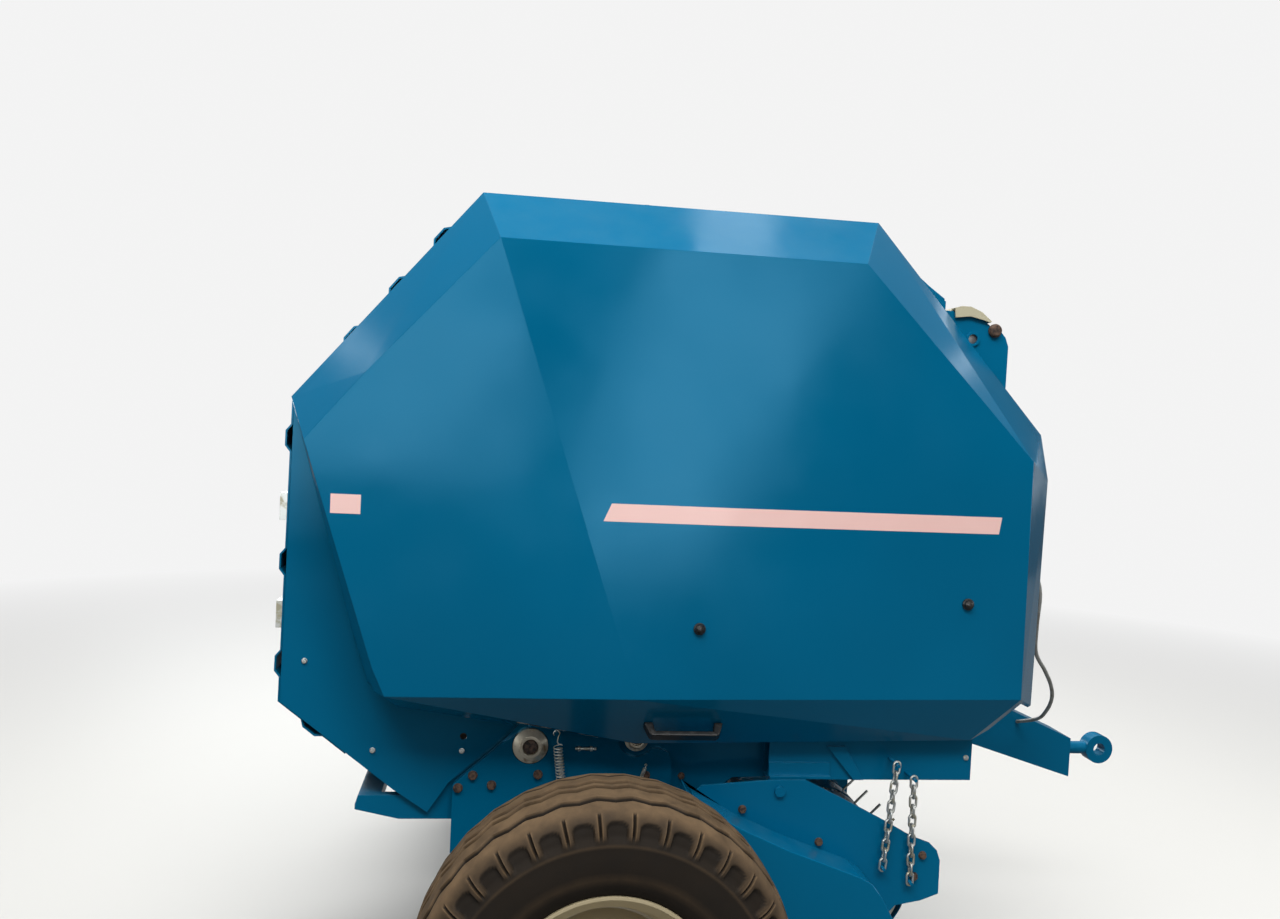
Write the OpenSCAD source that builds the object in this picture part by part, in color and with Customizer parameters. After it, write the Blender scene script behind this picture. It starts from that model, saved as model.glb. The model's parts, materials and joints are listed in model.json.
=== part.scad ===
// Compact fixed-chamber round baler, parked on its jack.
// Millimetres, +X forward (towards the tractor), +Z up, the ground at z = 0.
// The origin is on the ground in the middle of the machine's length and width.
// Stations along X are counted from the axle, and from_axle() puts them in place.

/* [Bale chamber] */
// Clear width between the side walls
chamber_w = 1000; // [900:10:1060]
// Thickness of a side wall
wall_t = 8; // [5:1:10]
// Height of the chamber's centre above the ground
chamber_z = 1300; // [1295:1:1305]
// Radius of the circle that the rollers stand on
roller_ring_r = 536; // [532:1:538]
// Outer radius of a roller
roller_r = 92; // [80:1:94]
// Radius of a roller's stub shaft
roller_stub_r = 22; // [15:1:24]
// Radius of a bearing housing
bearing_r = 40; // [36:1:46]

/* [Tailgate] */
// Station of the tailgate's hinge
gate_hinge_x = 60; // [50:5:70]
// Height of the tailgate's hinge
gate_hinge_z = 1905; // [1902:1:1908]
// Radius of the tailgate's hinge pin
gate_pin_r = 15; // [12:1:18]
// Thickness of the rear cover's sheet
cover_t = 4; // [3:1:6]
// Height of one folded rib of the rear cover
cover_rib_h = 11; // [8:1:14]

/* [Side doors] */
// Distance of a door's flat face from the machine's middle
door_out_y = 700; // [690:5:710]
// Distance of a door's open edge from the machine's middle
door_in_y = 540; // [536:1:550]
// Thickness of a door's skin
door_t = 5; // [4:1:7]
// Radius of a door's hinge pin
door_pin_r = 5; // [3:0.5:6]
// Radius of a round door latch
latch_r = 13; // [9:1:16]

/* [Wheels and axle] */
// Outer radius of a tyre
tyre_r = 380; // [360:5:390]
// Width of a tyre
tyre_w = 264; // [250:2:280]
// Radius of the rim's flange
rim_r = 212; // [206:1:218]
// Distance from the machine's middle to a wheel's middle
wheel_y = 880; // [870:5:900]
// Radius of an axle stub
stub_r = 25; // [18:1:30]
// Side of the square axle tube
axle_side = 90; // [70:2:100]

/* [Drawbar and driveline] */
// Width of the drawbar's box section
drawbar_w = 120; // [90:2:140]
// Thickness of the drawbar's plates
draw_t = 8; // [6:1:10]
// Outer radius of the towing ring
eye_out_r = 42; // [38:1:46]
// Radius of the towing ring's hole
eye_in_r = 18; // [14:0.5:20]
// Radius of the drive shaft's splined stub
pto_r = 17.5; // [15:0.5:21]
// Length of the drive shaft's splined stub
pto_len = 70; // [50:2:90]

/* [Pick-up] */
// Distance that the pick-up's side plates stand outside the side walls
pickup_overhang = 77; // [74:1:84]
// Radius from the reel's shaft to a tine's tip
tine_tip_r = 180; // [165:1:182]
// Radius of a tine bar's tube
tine_bar_r = 14; // [9:1:18]
// Thickness of a tine's wire
tine_d = 7; // [5:0.5:8]
// Width of one crop band
band_w = 66; // [40:2:72]
// Thickness of a lift chain's wire
link_d = 6; // [4:0.5:6]

/* [Jack] */
// Outer side of the jack's square sleeve
jack_side = 60; // [54:1:64]
// Side of the jack's sliding leg
leg_side = 44; // [34:1:46]
// Stroke of the jack's leg
jack_stroke = 280; // [200:10:300]

/* [Hidden] */

// The axle stands behind the middle of the machine's length.
eye_x = 1560;
cover_tail_x = -709;
gate_rear_x = cover_tail_x - cover_t / 2 - cover_rib_h;
axle_x = -(eye_x + eye_out_r + gate_rear_x) / 2;
side_in = chamber_w / 2;
side_out = side_in + wall_t;

paint_blue = "#0a6aa6";
zinc = "#b9bcc0";
bare_steel = "#8b8f94";
rubber_black = "#26282b";
cream = "#d9d2c0";
// Number of sides of a true circle
fine = 48;
// Gap between two pieces that rest on each other
seat_gap = 0.3;
// Clear space beside a piece that moves
move_gap = 5.5;

// Stations and heights of the chamber's rollers
chamber_x = -20;
front_roller_angles = [for (i = [0:5]) 67.5 - 21.75 * i];
gate_roller_angles = [for (i = [0:6]) 90 + 24.5 * i];
floor_rollers = [[-148, 716], [95, 734]];
function on_ring(a) = [chamber_x + roller_ring_r * cos(a), chamber_z + roller_ring_r * sin(a)];
front_roller_seats = concat(floor_rollers, [for (a = front_roller_angles) on_ring(a)]);
gate_roller_seats = [for (a = gate_roller_angles) on_ring(a)];

// Everything below is drawn with the axle at x = 0.
module from_axle() {
    translate([axle_x, 0, 0]) children();
}

// Draws its children on the right-hand side (side = -1) or the left-hand side (side = 1).
// The children are modelled for the left-hand side.
module on_side(side) {
    if (side > 0) children();
    else mirror([0, 1, 0]) children();
}

module both_sides() {
    for (side = [-1, 1]) on_side(side) children();
}

// A flat plate with an outline in the XZ plane, from y0 outward by t
module side_plate(outline, y0, t) {
    translate([0, y0 + t, 0]) rotate([90, 0, 0]) linear_extrude(t) polygon(outline);
}

// A round bar along +Y with its middle line through x, z
module y_bar(x, z, y0, y1, r) {
    translate([x, y0, z]) rotate([-90, 0, 0]) cylinder(r = r, h = y1 - y0, $fn = fine);
}

module y_tube(x, z, y0, y1, r, bore) {
    difference() {
        y_bar(x, z, y0, y1, r);
        y_bar(x, z, y0 - 1, y1 + 1, bore);
    }
}

module x_bar(x0, x1, y, z, r) {
    translate([x0, y, z]) rotate([0, 90, 0]) cylinder(r = r, h = x1 - x0, $fn = fine);
}

// A box between two opposite corners
module box(low, high) {
    translate(low) cube(high - low);
}

// A folded sheet: its outer face follows a line of points, and its thickness t lies
// to the right of the way that the line runs.
function unit(v) = v / norm(v);
function right_of(v) = [v[1], -v[0]];
function sheet_back(p, t) = [for (i = [0:len(p) - 1])
    let (before = right_of(unit(i == 0 ? p[1] - p[0] : p[i] - p[i - 1])),
        after = right_of(unit(i == len(p) - 1 ? p[i] - p[i - 1] : p[i + 1] - p[i])))
    p[i] + t * (before + after) / (1 + before * after)];
module sheet_outline(p, t) {
    back = sheet_back(p, t);
    polygon(concat(p, [for (i = [len(p) - 1:-1:0]) back[i]]));
}

// The same sheet in the XZ plane, between y0 and y1
module folded_sheet(p, t, y0, y1) {
    translate([0, y1, 0]) rotate([90, 0, 0]) linear_extrude(y1 - y0) sheet_outline(p, t);
}

// Side walls of the fixed front half of the chamber.
// The split runs from the hinge at the top to the tip under the chamber.
split_low = [-329, 626];
split_mid = [-224, 720];
split_high = [-60, 900];
split_gap = 10;
hinge_clear_r = 62;
gate_end_r = 52;
wall_top_z = gate_hinge_z + 30;
frame_box_x1 = 893;
tray_low_z = 650;
tray_top_z = 905;
front_wall_outline = [
    [split_low[0] + split_gap, 500], [split_low[0] + split_gap, split_low[1]],
    [split_mid[0] + split_gap, split_mid[1]], [split_high[0] + split_gap, split_high[1]],
    [gate_hinge_x + split_gap, gate_hinge_z], [gate_hinge_x + split_gap, wall_top_z],
    [590, wall_top_z - 2], [742, 1815], [782, 1785], [782, 1745], [830, 1620], [880, 1300], [880, 1000],
    [frame_box_x1, tray_top_z], [frame_box_x1, 650], [635, 650], [328, 642], [210, 560], [120, 500]];

module side_walls() color(paint_blue) from_axle() difference() {
    both_sides() difference() {
        side_plate(front_wall_outline, side_in, wall_t);
        y_bar(gate_hinge_x, gate_hinge_z, side_in - 1, side_out + 1, hinge_clear_r);
    }
    // The cross shaft leaves through the left-hand wall.
    y_bar(cross_x, cross_z, side_in - 1, side_out + 1, cross_r + seat_gap);
}

// Main frame: box beams along the sides, axle plates, cross tubes and hinge brackets
frame_box_x0 = 400;
frame_box_low = 655;
frame_box_high = 760;
frame_box_w = 50;
frame_box_t = 5;
frame_out_y = side_out + frame_box_w;
frame_tube = 80;
rear_bar_top = 592;
// Gusset on the rear bar that closes the corner behind the tailgate's wall
rear_gusset = [[-372, rear_bar_top], [-350, 640], [-312, 668], [-262, 668], [-242, rear_bar_top]];
rear_bar_outline = concat([[-40, 538], [-438, 538], [-536, 560], [-536, 572], [-530, rear_bar_top]],
    rear_gusset, [[-40, rear_bar_top]]);
rear_bar_w = 24;
rear_bar_y = side_in - move_gap - rear_bar_w;
rear_rail = [50, 30];
axle_plate_t = 12;
axle_plate_y = side_out + axle_plate_t;
axle_plate_outline = [[-319, 470], [-319, 626], [-214, 720], [-120, 780], [40, 780], [75, 712],
    [150, 712], [171, 703], [180, 682], [180, 430], [-150, 340], [-250, 400]];
brace_t = 8;
ledge_t = 6;
spring_y = axle_plate_y + 20;
// Pins of the springs: station and height of the upper and of the lower one
spring_pins = [[-91, 753], [-72, 610]];
spring_pin_r = 5;

module frame_beam() {
    difference() {
        box([frame_box_x0, side_out, frame_box_low], [frame_box_x1, frame_out_y, frame_box_high]);
        box([frame_box_x0 - 1, side_out + frame_box_t, frame_box_low + frame_box_t],
            [frame_box_x1 - frame_box_t, frame_out_y - frame_box_t, frame_box_high - frame_box_t]);
    }
    // Stiffening angle and slanted brace on the beam's outer face
    box([frame_box_x0, frame_out_y, 662], [545, frame_out_y + ledge_t, 696]);
    box([frame_box_x0, frame_out_y, 662], [545, frame_out_y + 3 * ledge_t, 662 + ledge_t]);
    side_plate([[536, 735], [580, 735], [627, 657], [603, 657]], frame_out_y, brace_t);
    // Pins that the lift chains hang on
    for (p = chain_tops) y_bar(p[0], p[1], frame_out_y, chain_y + 12, chain_pin_r);
}

module axle_plate() {
    difference() {
        side_plate(axle_plate_outline, side_out, axle_plate_t);
        box([-axle_side / 2, 0, axle_z - axle_side / 2],
            [axle_side / 2, axle_plate_y + 50, axle_z + axle_side / 2]);
        for (seat = floor_rollers)
            y_bar(seat[0], seat[1], side_out - 1, axle_plate_y + 8, bearing_r + 2);
    }
    for (p = spring_pins) y_bar(p[0], p[1], axle_plate_y - 1, spring_y + 8, spring_pin_r);
}

module gate_bracket() {
    bracket_y = side_out + move_gap;
    side_plate([[gate_hinge_x - 30, gate_hinge_z - 30], [gate_hinge_x + 150, gate_hinge_z - 60],
        [gate_hinge_x + 150, gate_hinge_z + 32], [gate_hinge_x - 30, gate_hinge_z + 32]], bracket_y, 6);
    box([gate_hinge_x + 80, side_out, gate_hinge_z - 45],
        [gate_hinge_x + 150, bracket_y + 1, gate_hinge_z + 15]);
    y_bar(gate_hinge_x, gate_hinge_z, side_in - 4, bracket_y + 1, gate_pin_r);
}

// Rail that carries the door, with its knuckles and pins
module door_rail() {
    rail_y = side_out + move_gap;
    box([door_rail_x0, rail_y, door_hinge_z - 12], [door_rail_x1, rail_y + 6, door_hinge_z]);
    for (x = door_knuckles_x) {
        for (end = [x - 30, x + 12]) {
            box([end, rail_y, door_hinge_z - 12], [end + 18, door_hinge_y, door_hinge_z + 4]);
            x_bar(end, end + 18, door_hinge_y, door_hinge_z, knuckle_r);
        }
        x_bar(x - 30, x + 30, door_hinge_y, door_hinge_z, door_pin_r);
    }
}

module main_frame() color(paint_blue) from_axle() {
    both_sides() {
        frame_beam();
        axle_plate();
        gate_bracket();
        door_rail();
        // Lug and pin that the pick-up turns on
        box([pickup_pivot[0] - 20, frame_out_y - 12, pickup_pivot[1] - 20],
            [pickup_pivot[0] + 20, frame_out_y, frame_box_low + 1]);
        y_bar(pickup_pivot[0], pickup_pivot[1], frame_out_y - 12, pickup_out_y + 8, pickup_pin_r);
        // Pin of the lift cylinder's foot
        y_bar(cyl_foot[0], cyl_foot[1], side_out, cyl_y + 24, cyl_pin_r);
        // Bar that runs back from the middle cross tube, inside the tailgate's wall
        side_plate(rear_bar_outline, rear_bar_y, rear_bar_w);
    }
    // Cross tubes between the side walls
    for (seat = [[0, 560], [580, 1850]])
        box([seat[0] - frame_tube / 2, -side_in, seat[1] - frame_tube / 2],
            [seat[0] + frame_tube / 2, side_in, seat[1] + frame_tube / 2]);
    // Rear cross rail between the two rear bars
    rail_x0 = rear_bar_outline[4][0];
    box([rail_x0, -rear_bar_y - 1, rear_bar_top - rear_rail[1]],
        [rail_x0 + rear_rail[0], rear_bar_y + 1, rear_bar_top]);
}

// Front tray: an open trough across the machine. The drawbar is bolted to its face,
// the gearbox stands on a shelf across it, and two stays run up to a cross bar.
tray_x0 = 745;
tray_t = 8;
stay_bar_x = 735;
stay_bar_z = 1210;
stay_bar_r = 20;
shelf_t = 10;
shelf_y = 90;

module front_tray() color(paint_blue) from_axle() {
    difference() {
        union() {
            // Floor, rear wall and face plate
            box([tray_x0, -side_in, tray_low_z], [frame_box_x1 + tray_t, side_in, tray_low_z + tray_t]);
            box([tray_x0, -side_in, tray_low_z], [tray_x0 + tray_t, side_in, tray_top_z]);
            box([frame_box_x1, -side_out, tray_low_z], [frame_box_x1 + tray_t, side_out, tray_top_z]);
        }
        box([jack_x - jack_side / 2 - seat_gap, jack_y - jack_side / 2 - seat_gap, tray_low_z - 1],
            [jack_x + jack_side / 2 + seat_gap, jack_y + jack_side / 2 + seat_gap, tray_low_z + tray_t + 1]);
    }
    // Stays and their cross bar
    both_sides() side_plate([[tray_x0 + tray_t, tray_low_z + tray_t], [tray_x0 + 50, tray_low_z + tray_t],
        [stay_bar_x + 16, stay_bar_z], [stay_bar_x - 16, stay_bar_z]], side_in - 14, tray_t);
    y_bar(stay_bar_x, stay_bar_z, -side_in, side_in, stay_bar_r);
    // Shelf that the gearbox stands on
    shelf_top = gear_z - gear_half - gear_flange_t - seat_gap;
    box([tray_x0, -shelf_y, shelf_top - shelf_t], [frame_box_x1 + tray_t, shelf_y, shelf_top]);
}

// Axle: a square tube with a stepped stub at each end
axle_z = tyre_r;
hub_in_y = wheel_y - 70;
module axle() color(paint_blue) from_axle() {
    tube_y = hub_in_y - 30;
    box([-axle_side / 2, -tube_y, axle_z - axle_side / 2], [axle_side / 2, tube_y, axle_z + axle_side / 2]);
    both_sides() {
        y_bar(0, axle_z, tube_y - 1, hub_in_y - seat_gap, stub_r + 20);
        y_bar(0, axle_z, hub_in_y - 10, wheel_y + 56, stub_r);
    }
}

// Drawbar: a box-section wedge that falls towards the towing ring
draw_x0 = frame_box_x1 + tray_t;
draw_x1 = 1443;
// Heights of the top and the underside at the tray and at the nose
draw_top_z0 = 833;
draw_top_z1 = 601;
draw_low_z0 = 657;
draw_low_z1 = 488;
draw_length = draw_x1 - draw_x0;
function draw_top(x) = draw_top_z0 + (draw_top_z1 - draw_top_z0) * (x - draw_x0) / draw_length;
function draw_low(x) = draw_low_z0 + (draw_low_z1 - draw_low_z0) * (x - draw_x0) / draw_length;
module drawbar_body(y, x0, x1, inset) {
    side_plate([[x0, draw_top(x0) - inset], [x1, draw_top(x1) - inset],
        [x1, draw_low(x1) + inset], [x0, draw_low(x0) + inset]], -y, 2 * y);
}

module drawbar() color(paint_blue) from_axle() {
    difference() {
        drawbar_body(drawbar_w / 2, draw_x0, draw_x1, 0);
        drawbar_body(drawbar_w / 2 - draw_t, draw_x0 + draw_t, draw_x1 - 24, draw_t);
        // Seat of the towing ring's swivel shank
        x_bar(draw_x1 - 30, draw_x1 + 1, 0, eye_z, eye_shank_r + 0.1);
    }
    // Cheeks that spread the load over the tray's face plate
    both_sides() side_plate([[draw_x0, tray_top_z - 10], [draw_x0 + 40, tray_top_z - 15],
        [draw_x0 + 150, draw_top(draw_x0 + 150) - 6], [draw_x0 + 150, draw_low(draw_x0 + 150) + 6],
        [draw_x0, draw_low_z0 + 2]], drawbar_w / 2 - 1, draw_t);
}

// Towing ring on a shank that turns in the drawbar's nose
eye_shank_r = 14;
eye_collar_r = 18;
eye_z = 556;
eye_t = 40;
module tow_eye() color(paint_blue) from_axle() {
    difference() {
        union() {
            y_bar(eye_x, eye_z, -eye_t / 2, eye_t / 2, eye_out_r);
            x_bar(draw_x1 + seat_gap, eye_x - eye_in_r - 8, 0, eye_z, eye_collar_r);
            x_bar(draw_x1 - 20, draw_x1 + 5, 0, eye_z, eye_shank_r);
        }
        y_bar(eye_x, eye_z, -eye_t, eye_t, eye_in_r);
    }
}

// A steel roller with welded ribs along it, and a stub shaft at each end
roller_len = chamber_w - 12;
rib_count = 8;
rib_h = 7;
rib_w = 10;
module roller(seat) {
    translate([seat[0], roller_len / 2, seat[1]]) rotate([90, 0, 0]) linear_extrude(roller_len) {
        circle(r = roller_r - rib_h, $fn = fine);
        for (i = [0:rib_count - 1]) rotate(i * 360 / rib_count)
            translate([0, -rib_w / 2]) square([roller_r, rib_w]);
    }
    y_bar(seat[0], seat[1], -side_in, side_in, roller_stub_r);
}

module front_rollers() color(bare_steel) from_axle() {
    for (seat = front_roller_seats) roller(seat);
}

module gate_rollers() color(bare_steel) from_axle() {
    for (seat = gate_roller_seats) roller(seat);
}

// Flanged bearings on the outside of the side walls, each with its shaft's end.
// Columns: station, height, radius
bearing_h = 22;
small_bearing_r = bearing_r - 12;
bearing_table = concat([[floor_rollers[0][0], floor_rollers[0][1], bearing_r],
    [floor_rollers[1][0], floor_rollers[1][1], small_bearing_r]],
    [for (i = [2:7]) [front_roller_seats[i][0], front_roller_seats[i][1], bearing_r]]);
module bearing(x, z, r, y0) {
    translate([x, y0, z]) rotate([-90, 0, 0]) rotate_extrude($fn = fine)
        polygon([[0, 0], [r, 0], [r, bearing_h - 10], [r - 6, bearing_h - 6], [r * 0.62, bearing_h],
            [r * 0.46, bearing_h], [r * 0.42, bearing_h - 6], [0, bearing_h - 6]]);
}

module bearings() color(zinc) from_axle() {
    both_sides() for (row = bearing_table) bearing(row[0], row[1], row[2], side_out);
    difference() {
        bearing(cross_x, cross_z, bearing_r, side_out);
        y_bar(cross_x, cross_z, side_out - 1, side_out + bearing_h + 1, cross_r + 0.2);
    }
}

// Box that holds the net roll across the front: a folded tray between two end plates
net_x0 = 704;
net_x1 = 953;
net_z0 = 1560;
net_back_z = 1838;
net_t = 4;
net_end_y = side_in - 8;
net_line = [[945, 1710], [net_x1, 1689], [net_x1, 1590], [935, net_z0], [net_x0, net_z0], [net_x0, net_back_z]];
net_end_outline = [[net_x0, 1750], [net_x0, net_z0], [935, net_z0], [net_x1, 1590], [net_x1, 1689],
    [945, 1710], [930, 1727], [905, 1736], [882, 1752], [850, 1762], [818, 1761], [808, 1766],
    [790, 1766], [780, 1750]];
guide_roller = [861, 1702];
guide_roller_r = 11;
guide_boss_r = 17;
// Catch of the lid, outside the end plate
catch_seat = [915, 1725];
catch_r = 14;
module net_box() color(paint_blue) from_axle() {
    folded_sheet(net_line, net_t, -net_end_y, net_end_y);
    both_sides() {
        difference() {
            side_plate(net_end_outline, net_end_y - net_t, net_t);
            y_bar(guide_roller[0], guide_roller[1], 0, net_end_y + 1, guide_roller_r + 0.3);
        }
        y_tube(guide_roller[0], guide_roller[1], net_end_y - 1, net_end_y + 5, guide_boss_r,
            guide_roller_r + 0.3);
        y_bar(catch_seat[0], catch_seat[1], net_end_y - 1, net_end_y + 10, catch_r);
        // Bracket that holds the box to the side wall
        box([net_x0 + 10, net_end_y - 1, net_z0 + 10], [net_x0 + 50, side_in, net_z0 + 50]);
    }
    // Hinge rod of the lid between the two end plates
    y_bar(lid_hinge_x, lid_hinge_z, -net_end_y, net_end_y, lid_rod_r);
}

// Roof between the two doors, from the tailgate's hinge to the lid of the net box
roof_z = wall_top_z + 3;
roof_t = 4;
roof_x0 = gate_hinge_x + 62;
roof_line = [[roof_x0, roof_z - 40], [roof_x0, roof_z], [590, roof_z], [743, 1820], [784, 1792]];
module roof() color(paint_blue) from_axle() folded_sheet(roof_line, roof_t, -side_in, side_in);

// Sheet panel that closes the front of the chamber above the crop intake
panel_t = 4;
panel_line = [[643, net_z0 + 3], [net_x0, net_z0 - 58], [net_x0, 958], [563, 827]];
module front_panel() color(paint_blue) from_axle() folded_sheet(panel_line, panel_t, -side_in, side_in);

// Net roll in the box, and the guide roller that the net runs over
net_roll_r = 70;
net_roll_x = net_x0 + net_t + net_roll_r + 12;
net_roll_z = net_z0 + net_t + net_roll_r + seat_gap;
module net_roll() color("white") from_axle() {
    y_tube(net_roll_x, net_roll_z, -net_end_y + 20, net_end_y - 20, net_roll_r, 25);
    y_bar(guide_roller[0], guide_roller[1], -net_end_y, net_end_y, guide_roller_r);
}

// Lid of the net box: a short arched sheet that is hinged at its rear edge
lid_hinge_x = 800;
lid_hinge_z = 1756;
lid_rod_r = 4;
lid_knuckle_r = 8;
lid_t = 4;
lid_in_y = net_end_y - net_t - move_gap;
lid_y = net_end_y + move_gap;
lid_line = [[lid_hinge_x + 4, lid_hinge_z + 6], [810, 1773], [826, 1778], [849, 1778], [877, 1767], [903, 1746]];
// The lid's side lip hangs below the arch and fades out towards the front
lid_lip = [[900, 1743], [882, 1748], [850, 1755], [812, 1750]];
lid_arch = [for (i = [1:len(lid_line) - 1]) lid_line[i]];
module net_lid() color(cream) from_axle() {
    difference() {
        union() {
            y_bar(lid_hinge_x, lid_hinge_z, -lid_in_y, lid_in_y, lid_knuckle_r);
            folded_sheet(lid_line, lid_t, -lid_in_y, lid_in_y);
            folded_sheet(lid_arch, lid_t, -lid_y - lid_t, lid_y + lid_t);
            both_sides() side_plate(concat(lid_arch, lid_lip), lid_y, lid_t);
        }
        y_bar(lid_hinge_x, lid_hinge_z, -side_in, side_in, lid_rod_r + 0.1);
    }
}

// Gearbox on the tray's shelf, with its drive stub to the front and its cross shaft to the left
gear_x0 = 760;
gear_x1 = 880;
gear_z = 978;
gear_half = 62;
gear_chamfer = 22;
gear_flange_t = 10;
gear_foot_y = 72;
module gearbox() color(bare_steel) from_axle() {
    // Casting with slanted upper corners
    translate([gear_x0, 0, gear_z]) rotate([90, 0, 90]) linear_extrude(gear_x1 - gear_x0)
        polygon([[-gear_half, -gear_half], [gear_half, -gear_half], [gear_half, gear_half - gear_chamfer],
            [gear_half - gear_chamfer, gear_half], [gear_chamfer - gear_half, gear_half],
            [-gear_half, gear_half - gear_chamfer]]);
    box([gear_x0, -gear_foot_y, gear_z - gear_half - gear_flange_t],
        [gear_x1, gear_foot_y, gear_z - gear_half + 1]);
    x_bar(gear_x1 - 1, gear_x1 + gear_flange_t, 0, gear_z, gear_half - 12);
    x_bar(gear_x1, gear_x1 + 2 * gear_flange_t, 0, gear_z, gear_half - 28);
    y_bar(cross_x, cross_z, gear_half - 1, gear_half + gear_flange_t, gear_half - 20);
}

pto_x0 = gear_x1 + 2 * gear_flange_t;
module pto_stub() color(bare_steel) from_axle() {
    x_bar(pto_x0, pto_x0 + gear_flange_t, 0, gear_z, pto_r + 8);
    x_bar(pto_x0 + gear_flange_t, pto_x0 + gear_flange_t + pto_len, 0, gear_z, pto_r);
}

cross_r = 20;
cross_x = 820;
cross_z = gear_z;
module cross_shaft() color(bare_steel) from_axle() {
    y_bar(cross_x, cross_z, gear_half + gear_flange_t, inner_plane_y + sprocket_t + 6, cross_r);
}

// Chain drive on the left-hand side: toothed sprockets in two planes
sprocket_t = 8;
inner_plane_y = side_out + bearing_h + 10;
outer_plane_y = frame_out_y + 6;
low_roller = front_roller_seats[7];
// Columns: station, height, radius of the teeth's circle, plane
sprocket_table = [
    [cross_x, cross_z, 40, inner_plane_y],
    [low_roller[0], low_roller[1], 85, inner_plane_y],
    [low_roller[0], low_roller[1], 55, outer_plane_y],
    [floor_rollers[1][0], floor_rollers[1][1], 55, outer_plane_y]];
// Columns: station, height and radius of the hubs, and the bearing face that they stand on
hub_table = [
    [low_roller[0], low_roller[1], 24, side_out + bearing_h],
    [floor_rollers[1][0], floor_rollers[1][1], 16, side_out + bearing_h]];
tooth_pitch = 25.4;
tooth_gap_r = 8;
module sprocket(row) {
    teeth = round(2 * PI * row[2] / tooth_pitch);
    difference() {
        translate([row[0], row[3] + sprocket_t, row[1]]) rotate([90, 0, 0]) linear_extrude(sprocket_t)
            difference() {
                circle(r = row[2], $fn = fine);
                for (i = [0:teeth - 1]) rotate(i * 360 / teeth)
                    translate([row[2] + 2, 0]) circle(r = tooth_gap_r, $fn = 8);
            }
        if (row[0] == cross_x)
            y_bar(row[0], row[1], row[3] - 1, row[3] + sprocket_t + 1, cross_r + 0.1);
    }
}

module sprockets() color(bare_steel) from_axle() {
    for (row = sprocket_table) sprocket(row);
    for (row = hub_table) y_bar(row[0], row[1], row[3], outer_plane_y + sprocket_t + 4, row[2]);
}

// Chain loops round the sprockets: pairs of rows of the sprocket table
chain_pairs = [[0, 1], [2, 3]];
chain_h = 9;
module loop_outline(a, b, grow) {
    hull() {
        translate([a[0], a[1]]) circle(r = a[2] + grow, $fn = 32);
        translate([b[0], b[1]]) circle(r = b[2] + grow, $fn = 32);
    }
}

module chain_loop(a, b) {
    translate([0, a[3] + sprocket_t, 0]) rotate([90, 0, 0]) linear_extrude(sprocket_t) difference() {
        loop_outline(a, b, chain_h);
        loop_outline(a, b, 1);
    }
}

module drive_chains() color(rubber_black) from_axle()
    for (pair = chain_pairs) chain_loop(sprocket_table[pair[0]], sprocket_table[pair[1]]);

// Coil springs that tighten the chains, seen under the doors, with an eye at each end
spring_r = 12;
spring_wire = 2.5;
spring_coil_len = 84;
spring_eye_in_r = spring_pin_r + seat_gap;
spring_eye_out_r = spring_eye_in_r + 2 * spring_wire;
module tension_springs() color(zinc) from_axle() both_sides() {
    span = spring_pins[0] - spring_pins[1];
    end_len = (norm(span) - spring_coil_len) / 2;
    translate([spring_pins[1][0], spring_y, spring_pins[1][1]]) rotate([0, atan2(span[0], span[1]), 0]) {
        translate([0, 0, end_len]) cylinder(r = spring_r, h = spring_coil_len, $fn = fine);
        for (z = [0, norm(span)]) y_tube(0, z, -spring_wire - 0.5, spring_wire + 0.5, spring_eye_out_r, spring_eye_in_r);
        for (z = [spring_eye_in_r + spring_wire, norm(span) - end_len - 1])
            translate([0, 0, z]) cylinder(r = spring_wire, h = end_len - spring_eye_in_r - spring_wire + 1, $fn = 16);
    }
}

// Control cable held along the front edge of the right-hand side wall and on the drawbar.
// It follows a smooth curve through the points of its route.
cable_r = 5;
wall_edge_y = -(side_out - 4);
cable_end_y = -(drawbar_w / 2 + 2.4);
cable_route = [[880 + cable_r + seat_gap, wall_edge_y, 1230], [960, wall_edge_y, 1220],
    [1035, wall_edge_y + 1, 1170], [1070, -500, 1105], [1085, -470, 1010],
    [1110, -430, 935], [1160, -390, 880], [1202, -350, 832], [1236, -300, 785], [1270, -220, 730],
    [1284, -150, 685], [1271, cable_end_y, 650]];
cable_steps = 4;
function tangent(p, i) = unit(p[min(i + 1, len(p) - 1)] - p[max(i - 1, 0)]);

// Point at the share u of the stretch that runs from p[i] to p[i + 1]
function between(p, i, u) = let (last = len(p) - 1, a = p[max(i - 1, 0)], b = p[i], c = p[i + 1],
    d = p[min(i + 2, last)])
    0.5 * (2 * b + (c - a) * u + (2 * a - 5 * b + 4 * c - d) * u * u + (3 * b - a - 3 * c + d) * u * u * u);
function smooth_line(p, steps) = concat([for (i = [0:len(p) - 2]) for (k = [0:steps - 1]) between(p, i, k / steps)],
    [p[len(p) - 1]]);
module tube_along(p, r, sides) {
    n = len(p);
    side_axis = [0, 1, 0];
    rings = [for (i = [0:n - 1]) let (t = tangent(p, i), u = unit(cross(t, side_axis)), v = cross(t, u))
        for (k = [0:sides - 1]) p[i] + r * (cos(360 * k / sides) * u + sin(360 * k / sides) * v)];
    faces = concat(
        [for (i = [0:n - 2]) for (k = [0:sides - 1]) for (half = [0, 1]) let (k2 = (k + 1) % sides)
            half == 0 ? [i * sides + k, i * sides + k2, (i + 1) * sides + k2]
                : [i * sides + k, (i + 1) * sides + k2, (i + 1) * sides + k]],
        [[for (k = [sides - 1:-1:0]) k]],
        [[for (k = [0:sides - 1]) (n - 1) * sides + k]]);
    polyhedron(rings, faces);
}

module control_cable() color(rubber_black) from_axle()
    tube_along(smooth_line(cable_route, cable_steps), cable_r, 8);

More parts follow.
